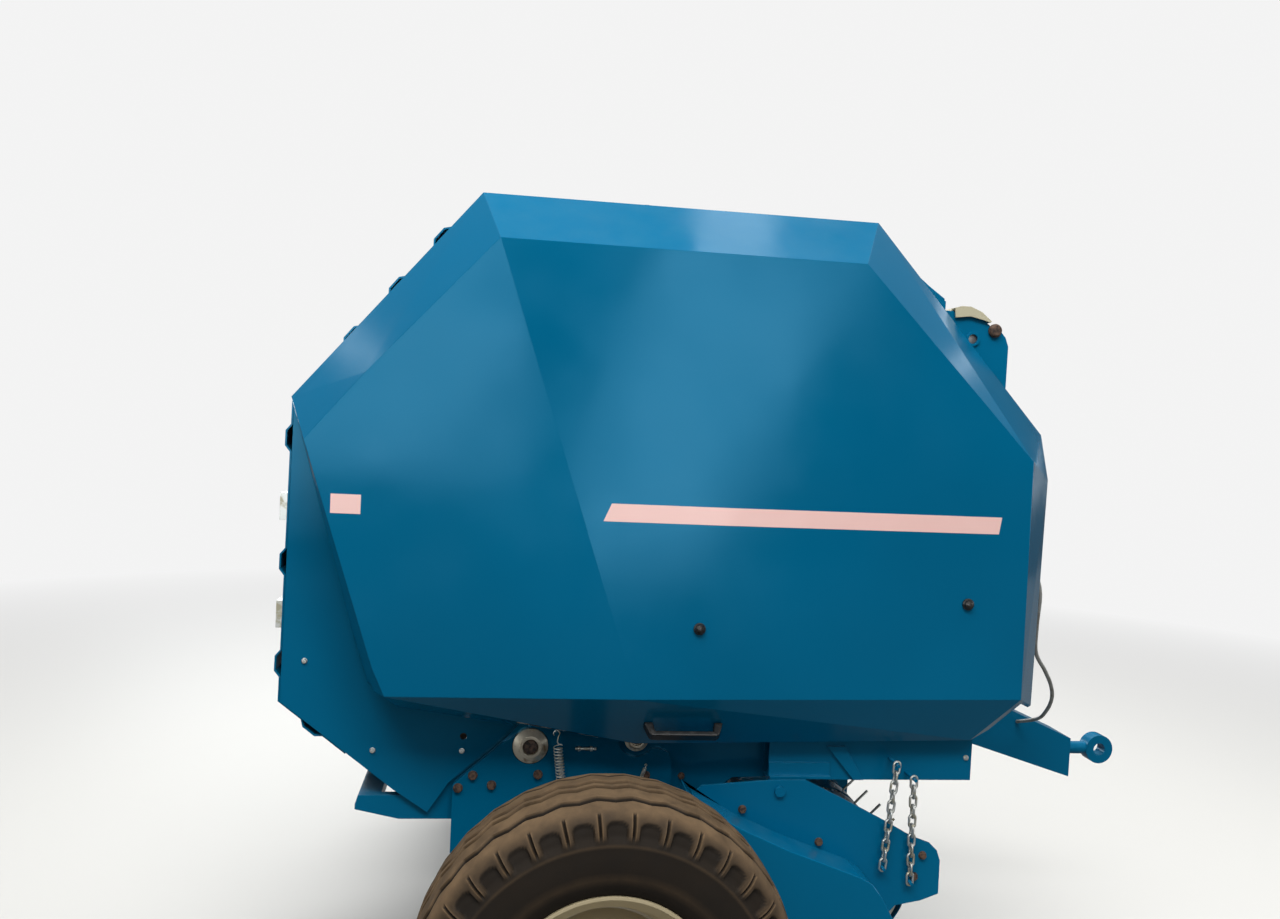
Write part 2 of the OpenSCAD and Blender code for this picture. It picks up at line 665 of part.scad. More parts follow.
// Side doors: one faceted shell on each side, hinged along its top edge.
// Outline corners of the open edge, as station and height
door_hinge_y = door_in_y - 11;
door_hinge_z = 1938;
door_rail_x0 = -250;
door_rail_x1 = 560;
door_knuckles_x = [-200, 143, 480];
knuckle_r = 9;
edge_upper = [[-697, 1483], [-640, 1543], [-307, 1950], [594, 1950], [1025, 1481], [1050, 1374]];
edge_lower = [[-515, 850], [1044, 831]];
foot_y = 600;
foot_outline = [[-440, 825], [80, 750], [866, 764]];
crease_top_rear = [-263, 1829];
crease_top_front = [518, 1828];
crease_foot = [66, 876];
rear_corners = [[-525, 1539], [-643, 1397], [-490, 930], [-462, 868]];
front_corners = [[655, 1684], [753, 1588], [940, 1420], [953, 877]];
// How far a door's side facet falls back for each millimetre from its crease
facet_fall = 0.05;
function crease_distance(p, a, b) = abs((b[0] - a[0]) * (a[1] - p[1]) - (a[0] - p[0]) * (b[1] - a[1])) / norm(b - a);
function rear_y(p) = door_out_y - facet_fall * crease_distance(p, crease_top_rear, crease_foot);
function front_y(p) = door_out_y - facet_fall * crease_distance(p, crease_top_front, crease_foot);
face_points = concat(
    [for (p = [crease_top_rear, crease_top_front, crease_foot]) [p[0], door_out_y, p[1]]],
    [for (p = rear_corners) [p[0], rear_y(p), p[1]]],
    [for (p = front_corners) [p[0], front_y(p), p[1]]]);
edge_points = [for (p = concat(edge_upper, edge_lower)) [p[0], door_in_y, p[1]]];
foot_points = [for (p = foot_outline) [p[0], foot_y, p[1]]];
// The face corner above each foot point
foot_heads = [face_points[6], face_points[2], face_points[10]];
door_mid = [150, 0, 1330];
// How far the shell's cavity runs past its free lower edge
open_drop = 30;

// A point moved towards the door's middle by t, along the door's plane
function drawn_in(p, t) = let (v = [door_mid[0] - p[0], 0, door_mid[2] - p[2]]) p + t * unit(v);

// A foot point moved to the chamfer's inner face and on past the free edge
function foot_inside(foot, head) = let (down = unit(foot - head), inward = unit([0, down[2], -down[1]]))
    foot + open_drop * down + door_t * inward;

// The convex solid that wraps a list of points
module wrapped(points) {
    hull() polyhedron(points, [[for (i = [0:len(points) - 1]) i]]);
}

module door_shell() {
    side_t = 1.5 * door_t;
    inner_face = [for (p = face_points) drawn_in(p, door_t) - [0, door_t, 0]];
    inner_upper = [for (p = edge_upper) drawn_in([p[0], door_in_y, p[1]], side_t)];
    inner_lower = [for (p = edge_lower) [p[0] + side_t * sign(door_mid[0] - p[0]), door_in_y, p[1] - open_drop]];
    inner_foot = [for (i = [0:2]) let (p = foot_inside(foot_points[i], foot_heads[i]))
        [p[0] + side_t * sign(door_mid[0] - p[0]), p[1], p[2]]];
    behind = [for (p = concat(inner_upper, inner_lower)) p - [0, 40, 0]];
    difference() {
        wrapped(concat(face_points, edge_points, foot_points));
        wrapped(concat(inner_face, inner_upper, inner_lower, inner_foot, behind));
    }
}

module door() {
    door_shell();
    for (x = door_knuckles_x) difference() {
        union() {
            x_bar(x - 10, x + 10, door_hinge_y, door_hinge_z, knuckle_r);
            box([x - 10, door_hinge_y, door_hinge_z + 1], [x + 10, door_in_y + 5, door_hinge_z + 7]);
        }
        x_bar(x - 11, x + 11, door_hinge_y, door_hinge_z, door_pin_r + 0.1);
    }
}

module door_right() color(paint_blue) from_axle() on_side(-1) door();
module door_left() color(paint_blue) from_axle() on_side(1) door();

// Pull handle on a door's lower chamfer: a moulded bridge with two flared feet
handle_x0 = 90;
handle_x1 = 266;
handle_up = 0.45;
handle_h = 34;
handle_grip_h = 12;
handle_foot = 20;
handle_w = 22;
handle_gap = 0.8;
chamfer_tilt = atan2(door_out_y - foot_y, crease_foot[1] - foot_outline[1][1]);
handle_foot_y = foot_y + handle_up * (door_out_y - foot_y);
handle_foot_z = foot_outline[1][1] + 1.7 + handle_up * (crease_foot[1] - foot_outline[1][1] - 1.6);
module door_handle() {
    translate([0, handle_foot_y, handle_foot_z]) rotate([-90 - chamfer_tilt, 0, 0])
        translate([0, handle_w / 2, handle_gap]) rotate([90, 0, 0]) linear_extrude(handle_w)
            polygon([[handle_x0, 0], [handle_x0 + handle_foot, 0], [handle_x0 + 24, handle_h - handle_grip_h],
                [handle_x1 - 24, handle_h - handle_grip_h], [handle_x1 - handle_foot, 0], [handle_x1, 0],
                [handle_x1 - 10, handle_h - 6], [handle_x1 - 16, handle_h],
                [handle_x0 + 16, handle_h], [handle_x0 + 10, handle_h - 6]]);
}

module handle_right() color(rubber_black) from_axle() on_side(-1) door_handle();
module handle_left() color(rubber_black) from_axle() on_side(1) door_handle();

// Round latches in a door's face
latch_seats = [[193, 1031], [805, 1095]];
module door_latches() {
    for (seat = latch_seats)
        translate([seat[0], front_y(seat) + 1, seat[1]]) rotate([-90, 0, 0]) rotate_extrude($fn = fine)
            polygon([[0, 0], [latch_r, 0], [latch_r, 4], [latch_r - 2, 5], [latch_r - 4, 9],
                [latch_r - 8, 11], [0, 12]]);
}

module latches_right() color(rubber_black) from_axle() on_side(-1) door_latches();
module latches_left() color(rubber_black) from_axle() on_side(1) door_latches();

// Tailgate: side walls, cover, rollers and latches
gate_outline = [
    [gate_hinge_x, gate_hinge_z], [split_high[0], split_high[1]], [split_mid[0], split_mid[1]],
    [split_low[0], split_low[1]], [-374, 558], [-451, 610], [-705, 807], [-699, 1301], [-697, 1483],
    [-640, 1543], [-330, 1925], [-60, wall_top_z + 5], [gate_hinge_x - 20, wall_top_z + 5]];
gate_boss_r = 24;

module gate_walls() color(paint_blue) from_axle() both_sides() {
    difference() {
        union() {
            side_plate(gate_outline, side_in, wall_t);
            y_bar(gate_hinge_x, gate_hinge_z, side_in, side_out, gate_end_r);
            // Boss that meets the lift cylinder's rod
            y_bar(cyl_head[0], cyl_head[1], side_out, cyl_y - rod_eye_half - seat_gap, gate_boss_r);
        }
        y_bar(gate_hinge_x, gate_hinge_z, side_in - 30, side_out + 1, gate_pin_r + 0.1);
        y_bar(-300, 733, side_in - 1, side_out + 1, 8);
    }
}

// Rear cover: a folded sheet with pressed ribs across it.
// Middle line of the sheet, and for each of its stretches the places of its ribs
cover_line = [[-60, 1944], [-330, 1929], [-640, 1547], [-701, 1483], [-703, 1301],
    [cover_tail_x, 807], [-560, 690]];
cover_rib_places = [[0.5], [0.2, 0.5, 0.8], [], [0.5], [0.37, 0.83], [0.5]];
rib_foot = 30;
rib_crown = 16;
function rib_points(p, q, place) = let (d = unit(q - p), m = p + place * (q - p), out = cover_rib_h * right_of(d))
    [m - rib_foot * d, m - rib_crown * d + out, m + rib_crown * d + out, m + rib_foot * d];
ribbed_line = [for (i = [0:len(cover_line) - 1])
    for (p = concat([cover_line[i]], i == len(cover_line) - 1 ? []
        : [for (place = cover_rib_places[i]) each rib_points(cover_line[i], cover_line[i + 1], place)])) p];
module gate_cover() color(paint_blue) from_axle()
    folded_sheet(sheet_back(ribbed_line, cover_t / 2), -cover_t, -side_in, side_in);

// Station of the rear cover's outer face at a height on its upright part
function cover_back_x(z) = -703 - 6 * (1301 - z) / 494 - cover_t / 2;
gate_latch_z = [1000, 1240];
gate_latch_half = 30;
module gate_latches() color(zinc) from_axle() both_sides()
    for (z = gate_latch_z)
        box([gate_rear_x, side_in - 60, z - gate_latch_half],
            [cover_back_x(z - gate_latch_half) - seat_gap, side_in - 4, z + gate_latch_half]);

// Lift cylinders of the tailgate, one on each side behind the doors
cyl_foot = [250, 980];
cyl_head = [gate_hinge_x - 170, gate_hinge_z - 300];
cyl_y = side_out + 42;
cyl_r = 26;
cyl_pin_r = 12;
rod_r = 14;
rod_eye_half = 18;
cyl_vec = cyl_head - cyl_foot;
cyl_len = norm(cyl_vec);
cyl_angle = atan2(cyl_vec[1], cyl_vec[0]);
barrel_len = cyl_len - 130;

// Puts children, drawn along +X from the foot pin, on the cylinder's line
module on_cylinder() {
    translate([cyl_foot[0], cyl_y, cyl_foot[1]]) rotate([0, -cyl_angle, 0]) children();
}

module cylinder_barrel() {
    on_cylinder() difference() {
        union() {
            x_bar(20, barrel_len, 0, 0, cyl_r);
            x_bar(barrel_len - 30, barrel_len + 8, 0, 0, cyl_r + 4);
            y_bar(0, 0, -16, 16, 24);
        }
        y_bar(0, 0, -17, 17, cyl_pin_r + 0.1);
        x_bar(60, barrel_len + 9, 0, 0, rod_r + 0.3);
    }
}

module cylinder_rod() {
    on_cylinder() {
        x_bar(64, cyl_len - 20, 0, 0, rod_r);
        y_bar(cyl_len, 0, -rod_eye_half, rod_eye_half, 22);
    }
}

module barrel_right() color(paint_blue) from_axle() on_side(-1) cylinder_barrel();
module barrel_left() color(paint_blue) from_axle() on_side(1) cylinder_barrel();
module rod_right() color(zinc) from_axle() on_side(-1) cylinder_rod();
module rod_left() color(zinc) from_axle() on_side(1) cylinder_rod();

// Pick-up: side plates, guards, crop bands and the tined reel
reel_x = 620;
reel_z = 400;
reel_boss_r = 24;
pickup_in_y = side_out + pickup_overhang;
pickup_plate_t = 6;
pickup_out_y = pickup_in_y + pickup_plate_t;
pickup_pivot = [420, 640];
pickup_outline = [[215, 420], [215, 632], [240, 652], [404, 665], [481, 665], [564, 626], [673, 571], [743, 533],
    [788, 517], [806, 500], [815, 476], [816, 397], [773, 381], [712, 370], [600, 250], [300, 262]];
pickup_pin_r = 12;
rail_x0 = 415;
rail_h = 34;
module pickup_frame() color(paint_blue) from_axle() {
    both_sides() {
        difference() {
            side_plate(pickup_outline, pickup_in_y, pickup_plate_t);
            y_bar(pickup_pivot[0], pickup_pivot[1], pickup_in_y - 1, pickup_out_y + 1, pickup_pin_r + 0.1);
        }
        y_bar(reel_x, reel_z, pickup_out_y - 1, pickup_out_y + 18, reel_boss_r);
        for (p = chain_feet) y_bar(p[0], p[1], pickup_out_y - 1, chain_y + 12, chain_pin_r);
    }
    // Rails that the crop bands are bolted to
    for (z = [reel_z + band_r - band_t - seat_gap - rail_h, reel_z - band_r + band_t + seat_gap])
        box([rail_x0, -pickup_in_y, z], [rail_x0 + rail_h, pickup_in_y, z + rail_h]);
}

// Guards beside the pick-up: a side sheet with a flange along its upper edge
guard_out_y = 690;
guard_t = 5;
guard_outline = [[190, 400], [190, 668], [210, 648], [312, 592], [417, 545], [585, 483], [616, 466],
    [640, 436], [668, 387], [672, 260], [300, 260]];
guard_hollow = [[195, 390], [195, 659], [208, 643], [310, 587], [415, 540], [583, 478], [613, 461],
    [635, 433], [662, 386], [666, 250], [300, 250]];
module pickup_guards() color(paint_blue) from_axle() both_sides() {
    difference() {
        side_plate(guard_outline, pickup_out_y, guard_out_y - pickup_out_y);
        side_plate(guard_hollow, pickup_out_y - 1, guard_out_y - pickup_out_y - guard_t + 1);
    }
}

// Curved bands that strip the crop off the tines
band_count = 12;
band_r = tine_tip_r - 45;
band_t = 3;
band_margin = 20;
band_pitch = 2 * (pickup_in_y - band_margin) / band_count;
module crop_bands() color(paint_blue) from_axle() {
    for (i = [0:band_count - 1])
        translate([reel_x, -pickup_in_y + band_margin + band_pitch * (i + 0.5) + band_w / 2, reel_z])
            rotate([90, 0, 0]) linear_extrude(band_w) {
                difference() {
                    circle(r = band_r, $fn = fine);
                    circle(r = band_r - band_t, $fn = fine);
                    translate([-2 * band_r, -2 * band_r]) square([2 * band_r, 4 * band_r]);
                }
                for (z = [band_r - band_t, -band_r])
                    translate([rail_x0 - reel_x, z]) square([reel_x - rail_x0 + 1, band_t]);
            }
}

// Tined reel: a shaft, end discs, bars and tines
bar_count = 4;
bar_ring_r = 85;
reel_shaft_r = 20;
reel_disc_r = bar_ring_r + 20;
module tine_reel() color(zinc) from_axle() {
    y_bar(reel_x, reel_z, -pickup_in_y + seat_gap, pickup_in_y - seat_gap, reel_shaft_r);
    for (k = [0:bar_count - 1]) {
        a = 45 + 360 * k / bar_count;
        bar_x = reel_x + bar_ring_r * cos(a);
        bar_z = reel_z + bar_ring_r * sin(a);
        y_bar(bar_x, bar_z, -pickup_in_y + 12, pickup_in_y - 12, tine_bar_r);
        for (j = [0:band_count])
            translate([bar_x, -pickup_in_y + band_margin + band_pitch * j, bar_z]) rotate([0, 90 - a, 0])
                cylinder(d = tine_d, h = tine_tip_r - bar_ring_r, $fn = 6);
    }
    both_sides() y_bar(reel_x, reel_z, pickup_in_y - 12, pickup_in_y - 6, reel_disc_r);
}

// Chains of welded links that hold the pick-up at its parked height.
// Each link hangs in the one above it, turned by a quarter.
chain_y = pickup_out_y + 16;
chain_pin_r = 4;
link_inner = 23;
link_w = 21;
link_in_corner = 1.5;
link_out_corner = 6.5;
link_count = 11;
link_pitch = link_inner - seat_gap;
// From a pin's middle to the middle of the link that hangs on it
pin_reach = link_inner / 2 - chain_pin_r - seat_gap;
chain_len = (link_count - 1) * link_pitch + 2 * pin_reach;
chain_feet = [[669, 467], [737, 433]];
chain_leans = [5, -1];
chain_tops = [for (i = [0, 1]) chain_feet[i] + chain_len * [sin(chain_leans[i]), cos(chain_leans[i])]];
function octagon_slot(l, w, c) = [[w / 2, l / 2 - c], [w / 2 - c, l / 2], [c - w / 2, l / 2], [-w / 2, l / 2 - c],
    [-w / 2, c - l / 2], [c - w / 2, -l / 2], [w / 2 - c, -l / 2], [w / 2, c - l / 2]];

// One link, standing along Z and flat in the XZ plane
module chain_link() {
    translate([0, link_d / 2, 0]) rotate([90, 0, 0]) linear_extrude(link_d) difference() {
        polygon(octagon_slot(link_inner + 2 * link_d, link_w, link_out_corner));
        polygon(octagon_slot(link_inner, link_w - 2 * link_d, link_in_corner));
    }
}

module lift_chains() color(zinc) from_axle() both_sides()
    for (c = [0, 1]) translate([chain_feet[c][0], chain_y, chain_feet[c][1]]) rotate([0, chain_leans[c], 0])
        for (i = [0:link_count - 1])
            translate([0, 0, pin_reach + link_pitch * i]) rotate(i % 2 == 0 ? 0 : 90) chain_link();

// Wheels: a tyre with round shoulders on a drop-centre rim with a dished disc
tyre_half = tyre_w / 2;
bead_y = tyre_half - 40;
// Half profile of the tyre from its bead to its crown, as radius and distance from the middle
tyre_profile = [[rim_r - 20, tyre_half - 40], [rim_r + 10, tyre_half - 12], [rim_r + 32, tyre_half - 4],
    [rim_r + 58, tyre_half], [rim_r + 90, tyre_half - 1], [tyre_r - 44, tyre_half - 7],
    [tyre_r - 26, tyre_half - 18], [tyre_r - 12, tyre_half - 36], [tyre_r - 5, tyre_half - 62], [tyre_r, tyre_half - 100]];
module tyre() {
    last = len(tyre_profile) - 1;
    translate([0, wheel_y, axle_z]) rotate([-90, 0, 0]) rotate_extrude($fn = 96)
        polygon(concat(tyre_profile, [for (i = [last:-1:0]) [tyre_profile[i][0], -tyre_profile[i][1]]]));
}

hub_r = 62;
bead_seat_r = rim_r - 20.5;
rim_t = 7;
well_r = rim_r - 46;
// Outer half profile of the rim's barrel, from its middle to its flange
barrel_profile = [[well_r, 40], [bead_seat_r, 60], [bead_seat_r, bead_y + 0.4], [rim_r, bead_y + 19.4],
    [rim_r, bead_y + 26]];
barrel_inside = [[rim_r - 6, bead_y + 26], [bead_seat_r - rim_t, bead_y + 6], [bead_seat_r - rim_t, 63],
    [well_r - rim_t, 43]];
rim_profile = concat([for (i = [4:-1:0]) [barrel_profile[i][0], -barrel_profile[i][1]]], barrel_profile,
    barrel_inside, [for (i = [3:-1:0]) [barrel_inside[i][0], -barrel_inside[i][1]]]);
// Outer face of the dished disc, from the barrel to the hub
disc_line = [[well_r - rim_t + 1, 12], [142, 16], [126, 36], [104, 36], [92, 24], [hub_r - 2, 24]];
hand_holes = 8;
hand_hole_r = 13;
hand_hole_ring = 115;
module rim() {
    translate([0, wheel_y, axle_z]) rotate([-90, 0, 0]) difference() {
        union() {
            rotate_extrude($fn = 64) polygon(rim_profile);
            rotate_extrude($fn = 64) sheet_outline(disc_line, 8);
            rotate_extrude($fn = 64) polygon([[0, -70], [hub_r, -70], [hub_r, 26], [46, 34], [46, 58], [38, 68], [0, 68]]);
        }
        translate([0, 0, -71]) cylinder(r = stub_r + 0.1, h = 71 + 60, $fn = fine);
        for (i = [0:hand_holes - 1]) rotate(i * 360 / hand_holes)
            translate([hand_hole_ring, 0, 0]) cylinder(r = hand_hole_r, h = 60, $fn = fine);
    }
}

module tyre_right() color(rubber_black) from_axle() on_side(-1) tyre();
module tyre_left() color(rubber_black) from_axle() on_side(1) tyre();
module rim_right() color(cream) from_axle() on_side(-1) rim();
module rim_left() color(cream) from_axle() on_side(1) rim();

// Jack: a square sleeve through the tray's floor, and a leg that slides in it
jack_x = 850;
jack_y = 235;
jack_low = 400;
jack_cap = 6;
jack_foot_r = 80;
jack_foot_t = 10;
leg_top_z = tray_top_z - jack_cap - jack_stroke - 10;
module jack_box(side, z0, z1) {
    box([jack_x - side / 2, jack_y - side / 2, z0], [jack_x + side / 2, jack_y + side / 2, z1]);
}

module jack_sleeve() color(paint_blue) from_axle() {
    difference() {
        union() {
            jack_box(jack_side, jack_low, tray_top_z);
            // Collar on the tray's floor
            jack_box(jack_side + 24, tray_low_z + tray_t, tray_low_z + 2 * tray_t);
        }
        jack_box(leg_side + 1, jack_low - 1, tray_top_z - jack_cap);
    }
    // Handle of the locking pin
    y_bar(jack_x, jack_low + 40, jack_y + jack_side / 2 - 1, jack_y + jack_side / 2 + 30, 7);
}

module jack_leg() color(paint_blue) from_axle() {
    jack_box(leg_side, jack_foot_t - 1, leg_top_z);
    translate([jack_x, jack_y, 0]) cylinder(r = jack_foot_r, h = jack_foot_t, $fn = fine);
}

side_walls();
main_frame();
front_tray();
axle();
drawbar();
front_rollers();
bearings();
roof();
front_panel();
net_box();
net_roll();
gearbox();
pto_stub();
cross_shaft();
sprockets();
drive_chains();
tension_springs();
control_cable();
lift_chains();
jack_sleeve();
net_lid();
door_right();
handle_right();
latches_right();
door_left();
handle_left();
latches_left();
gate_walls();
gate_cover();
gate_rollers();
gate_latches();
barrel_right();
rod_right();
barrel_left();
rod_left();
pickup_frame();
pickup_guards();
crop_bands();
tine_reel();
tow_eye();
tyre_right();
rim_right();
tyre_left();
rim_left();
jack_leg();
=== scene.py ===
"""Looks of a compact round baler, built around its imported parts.

Metres, +X forward (towards the tractor), +Y to the machine's left, +Z up, ground at z = 0.
Lengths in the tables are millimetres, counted along X from the axle, and at() turns them into place.
A shape is a pair of its points and a list of face arrays, worked out with numpy.
"""

import json
import math

import bmesh
import bpy
import numpy as np
from mathutils import Matrix

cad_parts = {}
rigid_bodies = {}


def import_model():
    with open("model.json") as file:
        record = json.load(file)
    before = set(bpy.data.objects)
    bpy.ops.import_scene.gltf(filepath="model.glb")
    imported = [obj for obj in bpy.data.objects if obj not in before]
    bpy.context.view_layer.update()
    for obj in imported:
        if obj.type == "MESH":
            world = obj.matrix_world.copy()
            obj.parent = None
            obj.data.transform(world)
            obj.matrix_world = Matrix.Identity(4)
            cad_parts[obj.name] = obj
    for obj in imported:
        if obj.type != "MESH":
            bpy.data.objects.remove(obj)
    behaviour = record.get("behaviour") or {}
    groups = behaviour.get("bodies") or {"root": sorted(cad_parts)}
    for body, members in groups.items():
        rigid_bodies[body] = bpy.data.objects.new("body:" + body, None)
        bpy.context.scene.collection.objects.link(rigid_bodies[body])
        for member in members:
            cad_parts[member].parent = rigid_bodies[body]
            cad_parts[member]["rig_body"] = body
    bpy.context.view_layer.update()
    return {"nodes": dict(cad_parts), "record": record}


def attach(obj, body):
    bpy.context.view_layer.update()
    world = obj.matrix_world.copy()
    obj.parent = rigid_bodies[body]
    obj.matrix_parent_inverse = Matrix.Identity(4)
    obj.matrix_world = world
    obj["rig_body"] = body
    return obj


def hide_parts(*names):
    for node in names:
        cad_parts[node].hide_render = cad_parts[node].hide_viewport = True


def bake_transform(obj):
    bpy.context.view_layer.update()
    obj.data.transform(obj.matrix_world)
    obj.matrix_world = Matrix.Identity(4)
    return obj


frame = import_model()
nodes = frame["nodes"]
record_slots = {row["node"]: row["material_slot"] for row in frame["record"]["subparts"]}

MM = 0.001
AXLE_X = -440
RIGHT, LEFT = -1, 1
SIDES = {RIGHT: "right", LEFT: "left"}
TAU = 2 * math.pi


# Shapes
def at(x, y, z):
    """A point or arrays of points from the axle's stations, in metres of the shared frame."""
    return np.stack(np.broadcast_arrays((np.asarray(x, float) + AXLE_X) * MM,
                                        np.asarray(y, float) * MM, np.asarray(z, float) * MM), -1)


def unit(v):
    """Vectors along v, each of length 1."""
    v = np.asarray(v, float)
    return v / np.linalg.norm(v, axis=-1, keepdims=True)


def grid_faces(rows, cols, close_rows=False, close_cols=False):
    """Quads of a grid of rows by cols points, wrapped round in either direction if asked."""
    i, j = np.meshgrid(np.arange(rows if close_rows else rows - 1),
                       np.arange(cols if close_cols else cols - 1), indexing="ij")
    k, m = (i + 1) % rows, (j + 1) % cols
    return np.stack([i * cols + j, i * cols + m, k * cols + m, k * cols + j], -1).reshape(-1, 4)


def joined(shapes):
    """Several shapes as one, with the face numbers moved on."""
    points = [np.reshape(p, (-1, 3)) for p, _ in shapes]
    starts = np.cumsum([0] + [len(p) for p in points])
    return np.concatenate(points), [f + start for (_, faces), start in zip(shapes, starts) for f in faces]


def ringed(rings, ends=True):
    """The skin over a stack of rings of points, (rows, sides, 3), with a flat cap at both ends."""
    rows, sides = rings.shape[:2]
    faces = [grid_faces(rows, sides, close_cols=True)]
    if ends:
        faces += [np.arange(sides)[None, ::-1], (rows - 1) * sides + np.arange(sides)[None]]
    return rings.reshape(-1, 3), faces


def make(name, shape, material, body, smooth=35, attributes=None):
    """A finished piece: its mesh, material, body and material slot. Folds over smooth degrees stay sharp."""
    points, faces = shape
    face_lists = sum((np.asarray(f).tolist() for f in faces), [])
    mesh = bpy.data.meshes.new(name)
    mesh.from_pydata(np.reshape(points, (-1, 3)).tolist(), [], face_lists)
    for key, values in (attributes or {}).items():
        layer = mesh.attributes.new(key, "FLOAT", "POINT")
        layer.data.foreach_set("value", np.asarray(values, np.float32).ravel())
    mesh.validate()
    mesh.shade_smooth()
    mesh.set_sharp_from_angle(angle=math.radians(smooth))
    mesh.materials.append(material)
    piece = bpy.data.objects.new(name, mesh)
    bpy.context.scene.collection.objects.link(piece)
    if body:
        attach(piece, body)
    return piece


# A direction that no axis of the machine is parallel to, and one that no tube runs along
ASLANT, NEARLY_UP = (0.31, 0.52, 0.79), (0.13, 0.21, 0.97)


def turned(profile, start, axis, sides=24):
    """A turned solid: rings of (radius, distance along the axis) round a line from start, in millimetres."""
    profile = np.asarray(profile, float) * MM
    axis = unit(axis)
    side = unit(np.cross(ASLANT, axis))
    other = np.cross(axis, side)
    a = np.arange(sides) * TAU / sides
    ring = np.cos(a)[:, None] * side + np.sin(a)[:, None] * other
    radius, along = profile[:, 0, None, None], profile[:, 1, None, None]
    return ringed(np.asarray(start) + radius * ring + along * axis)


def tube(path, radius, sides=12):
    """A round tube along a path: a circle in the plane across the tangent at each point."""
    path = np.asarray(path, float)
    tangent = unit(np.gradient(path, axis=0))
    side = unit(np.cross(tangent, NEARLY_UP))
    other = np.cross(tangent, side)
    a = np.arange(sides) * TAU / sides
    return ringed(path[:, None] + radius * (np.cos(a)[None, :, None] * side[:, None]
                                            + np.sin(a)[None, :, None] * other[:, None]))


def placed(shape, places, ups, axes):
    """Copies of a small shape, its Z laid along each axis and its X along each up."""
    points, faces = shape
    axes, ups = unit(axes), np.asarray(ups, float)
    side = unit(ups - np.sum(ups * axes, -1, keepdims=True) * axes)
    turn = np.stack([side, np.cross(axes, side), axes], -1)
    spots = np.einsum("nij,pj->npi", turn, points) + np.asarray(places)[:, None]
    first = np.arange(len(spots))[:, None, None] * len(points)
    return spots.reshape(-1, 3), [(f[None] + first).reshape(-1, f.shape[1]) for f in faces]


def rounded_line(points, steps):
    """A smooth line through corner points: a cubic through each four neighbours."""
    p = np.asarray(points, float)
    p = np.concatenate([p[:1], p, p[-1:]])
    t = np.linspace(0, 1, steps, endpoint=False)[None, :, None]
    a, b, c, d = (p[i:len(p) - 3 + i, None] for i in range(4))
    curve = 0.5 * (2 * b + (c - a) * t + (2 * a - 5 * b + 4 * c - d) * t ** 2
                   + (3 * b - a - 3 * c + d) * t ** 3)
    return np.concatenate([curve.reshape(-1, p.shape[1]), p[-2:-1]])


def step(value, low, high):
    """0 below low, 1 above high, and a smooth rise between."""
    t = np.clip((value - low) / (high - low), 0, 1)
    return t * t * (3 - 2 * t)


def outward(faces, side):
    """Faces drawn for the left-hand side, turned round where they are used on the right-hand side."""
    return faces if side == LEFT else [f[:, ::-1] for f in faces]


# Corners of a CAD mesh that are one point, in metres, and the fold in degrees that counts as flat
SAME_POINT, FLAT_FOLD = 1e-5, 0.5


def softened(node, width, material, angle=25, segments=2):
    """A CAD node's own shape with its hard edges rounded over by a bevel, whose width is in millimetres."""
    source = nodes[node]
    mesh = source.data.copy()
    work = bmesh.new()
    work.from_mesh(mesh)
    bmesh.ops.remove_doubles(work, verts=work.verts, dist=SAME_POINT)
    bmesh.ops.dissolve_limit(work, angle_limit=math.radians(FLAT_FOLD), verts=work.verts, edges=work.edges)
    work.to_mesh(mesh)
    work.free()
    mesh.materials.clear()
    mesh.materials.append(material)
    mesh.shade_smooth()
    mesh.set_sharp_from_angle(angle=math.radians(angle))
    piece = bpy.data.objects.new(node + "_soft", mesh)
    bpy.context.scene.collection.objects.link(piece)
    bevel = piece.modifiers.new("rounded edges", "BEVEL")
    bevel.width = width * MM
    bevel.segments = segments
    bevel.limit_method = "ANGLE"
    bevel.angle_limit = math.radians(angle)
    bevel.use_clamp_overlap = True
    bevel.harden_normals = True
    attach(piece, source["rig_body"])
    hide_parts(node)
    return piece


# Materials
def colour(code):
    """A linear colour from sRGB hex."""
    parts = [int(code[i:i + 2], 16) / 255 for i in (1, 3, 5)]
    return tuple(c / 12.92 if c <= 0.04045 else ((c + 0.055) / 1.055) ** 2.4 for c in parts) + (1.0,)


def every(size):
    """Scale of a pattern whose marks lie this many millimetres apart."""
    return 1000 / size


def add(tree, kind, settings=None, **links):
    """Adds one node, sets its values, and links its inputs. An input is named by its name, with _ for
    a space, or as _ and its number. A link comes from a socket, or from a node's first live output."""
    made = tree.nodes.new(kind)
    for key, value in (settings or {}).items():
        if isinstance(key, int) or key in made.inputs:
            made.inputs[key].default_value = value
        else:
            setattr(made, key, value)
    for key, source in links.items():
        if isinstance(source, bpy.types.Node):
            source = next(s for s in source.outputs if s.enabled)
        place = int(key[1:]) if key[0] == "_" else key.replace("_", " ")
        tree.links.new(source, made.inputs[place])
    return made


def finish_of(name, **values):
    """A new material: its tree, its Object coordinates, and its shader with the plain values set."""
    made = bpy.data.materials.new(name)
    made.use_nodes = True
    tree = made.node_tree
    tree.nodes.clear()
    shader = add(tree, "ShaderNodeBsdfPrincipled", {k.replace("_", " "): v for k, v in values.items()})
    add(tree, "ShaderNodeOutputMaterial", None, Surface=shader)
    return made, tree, add(tree, "ShaderNodeTexCoord").outputs["Object"], shader


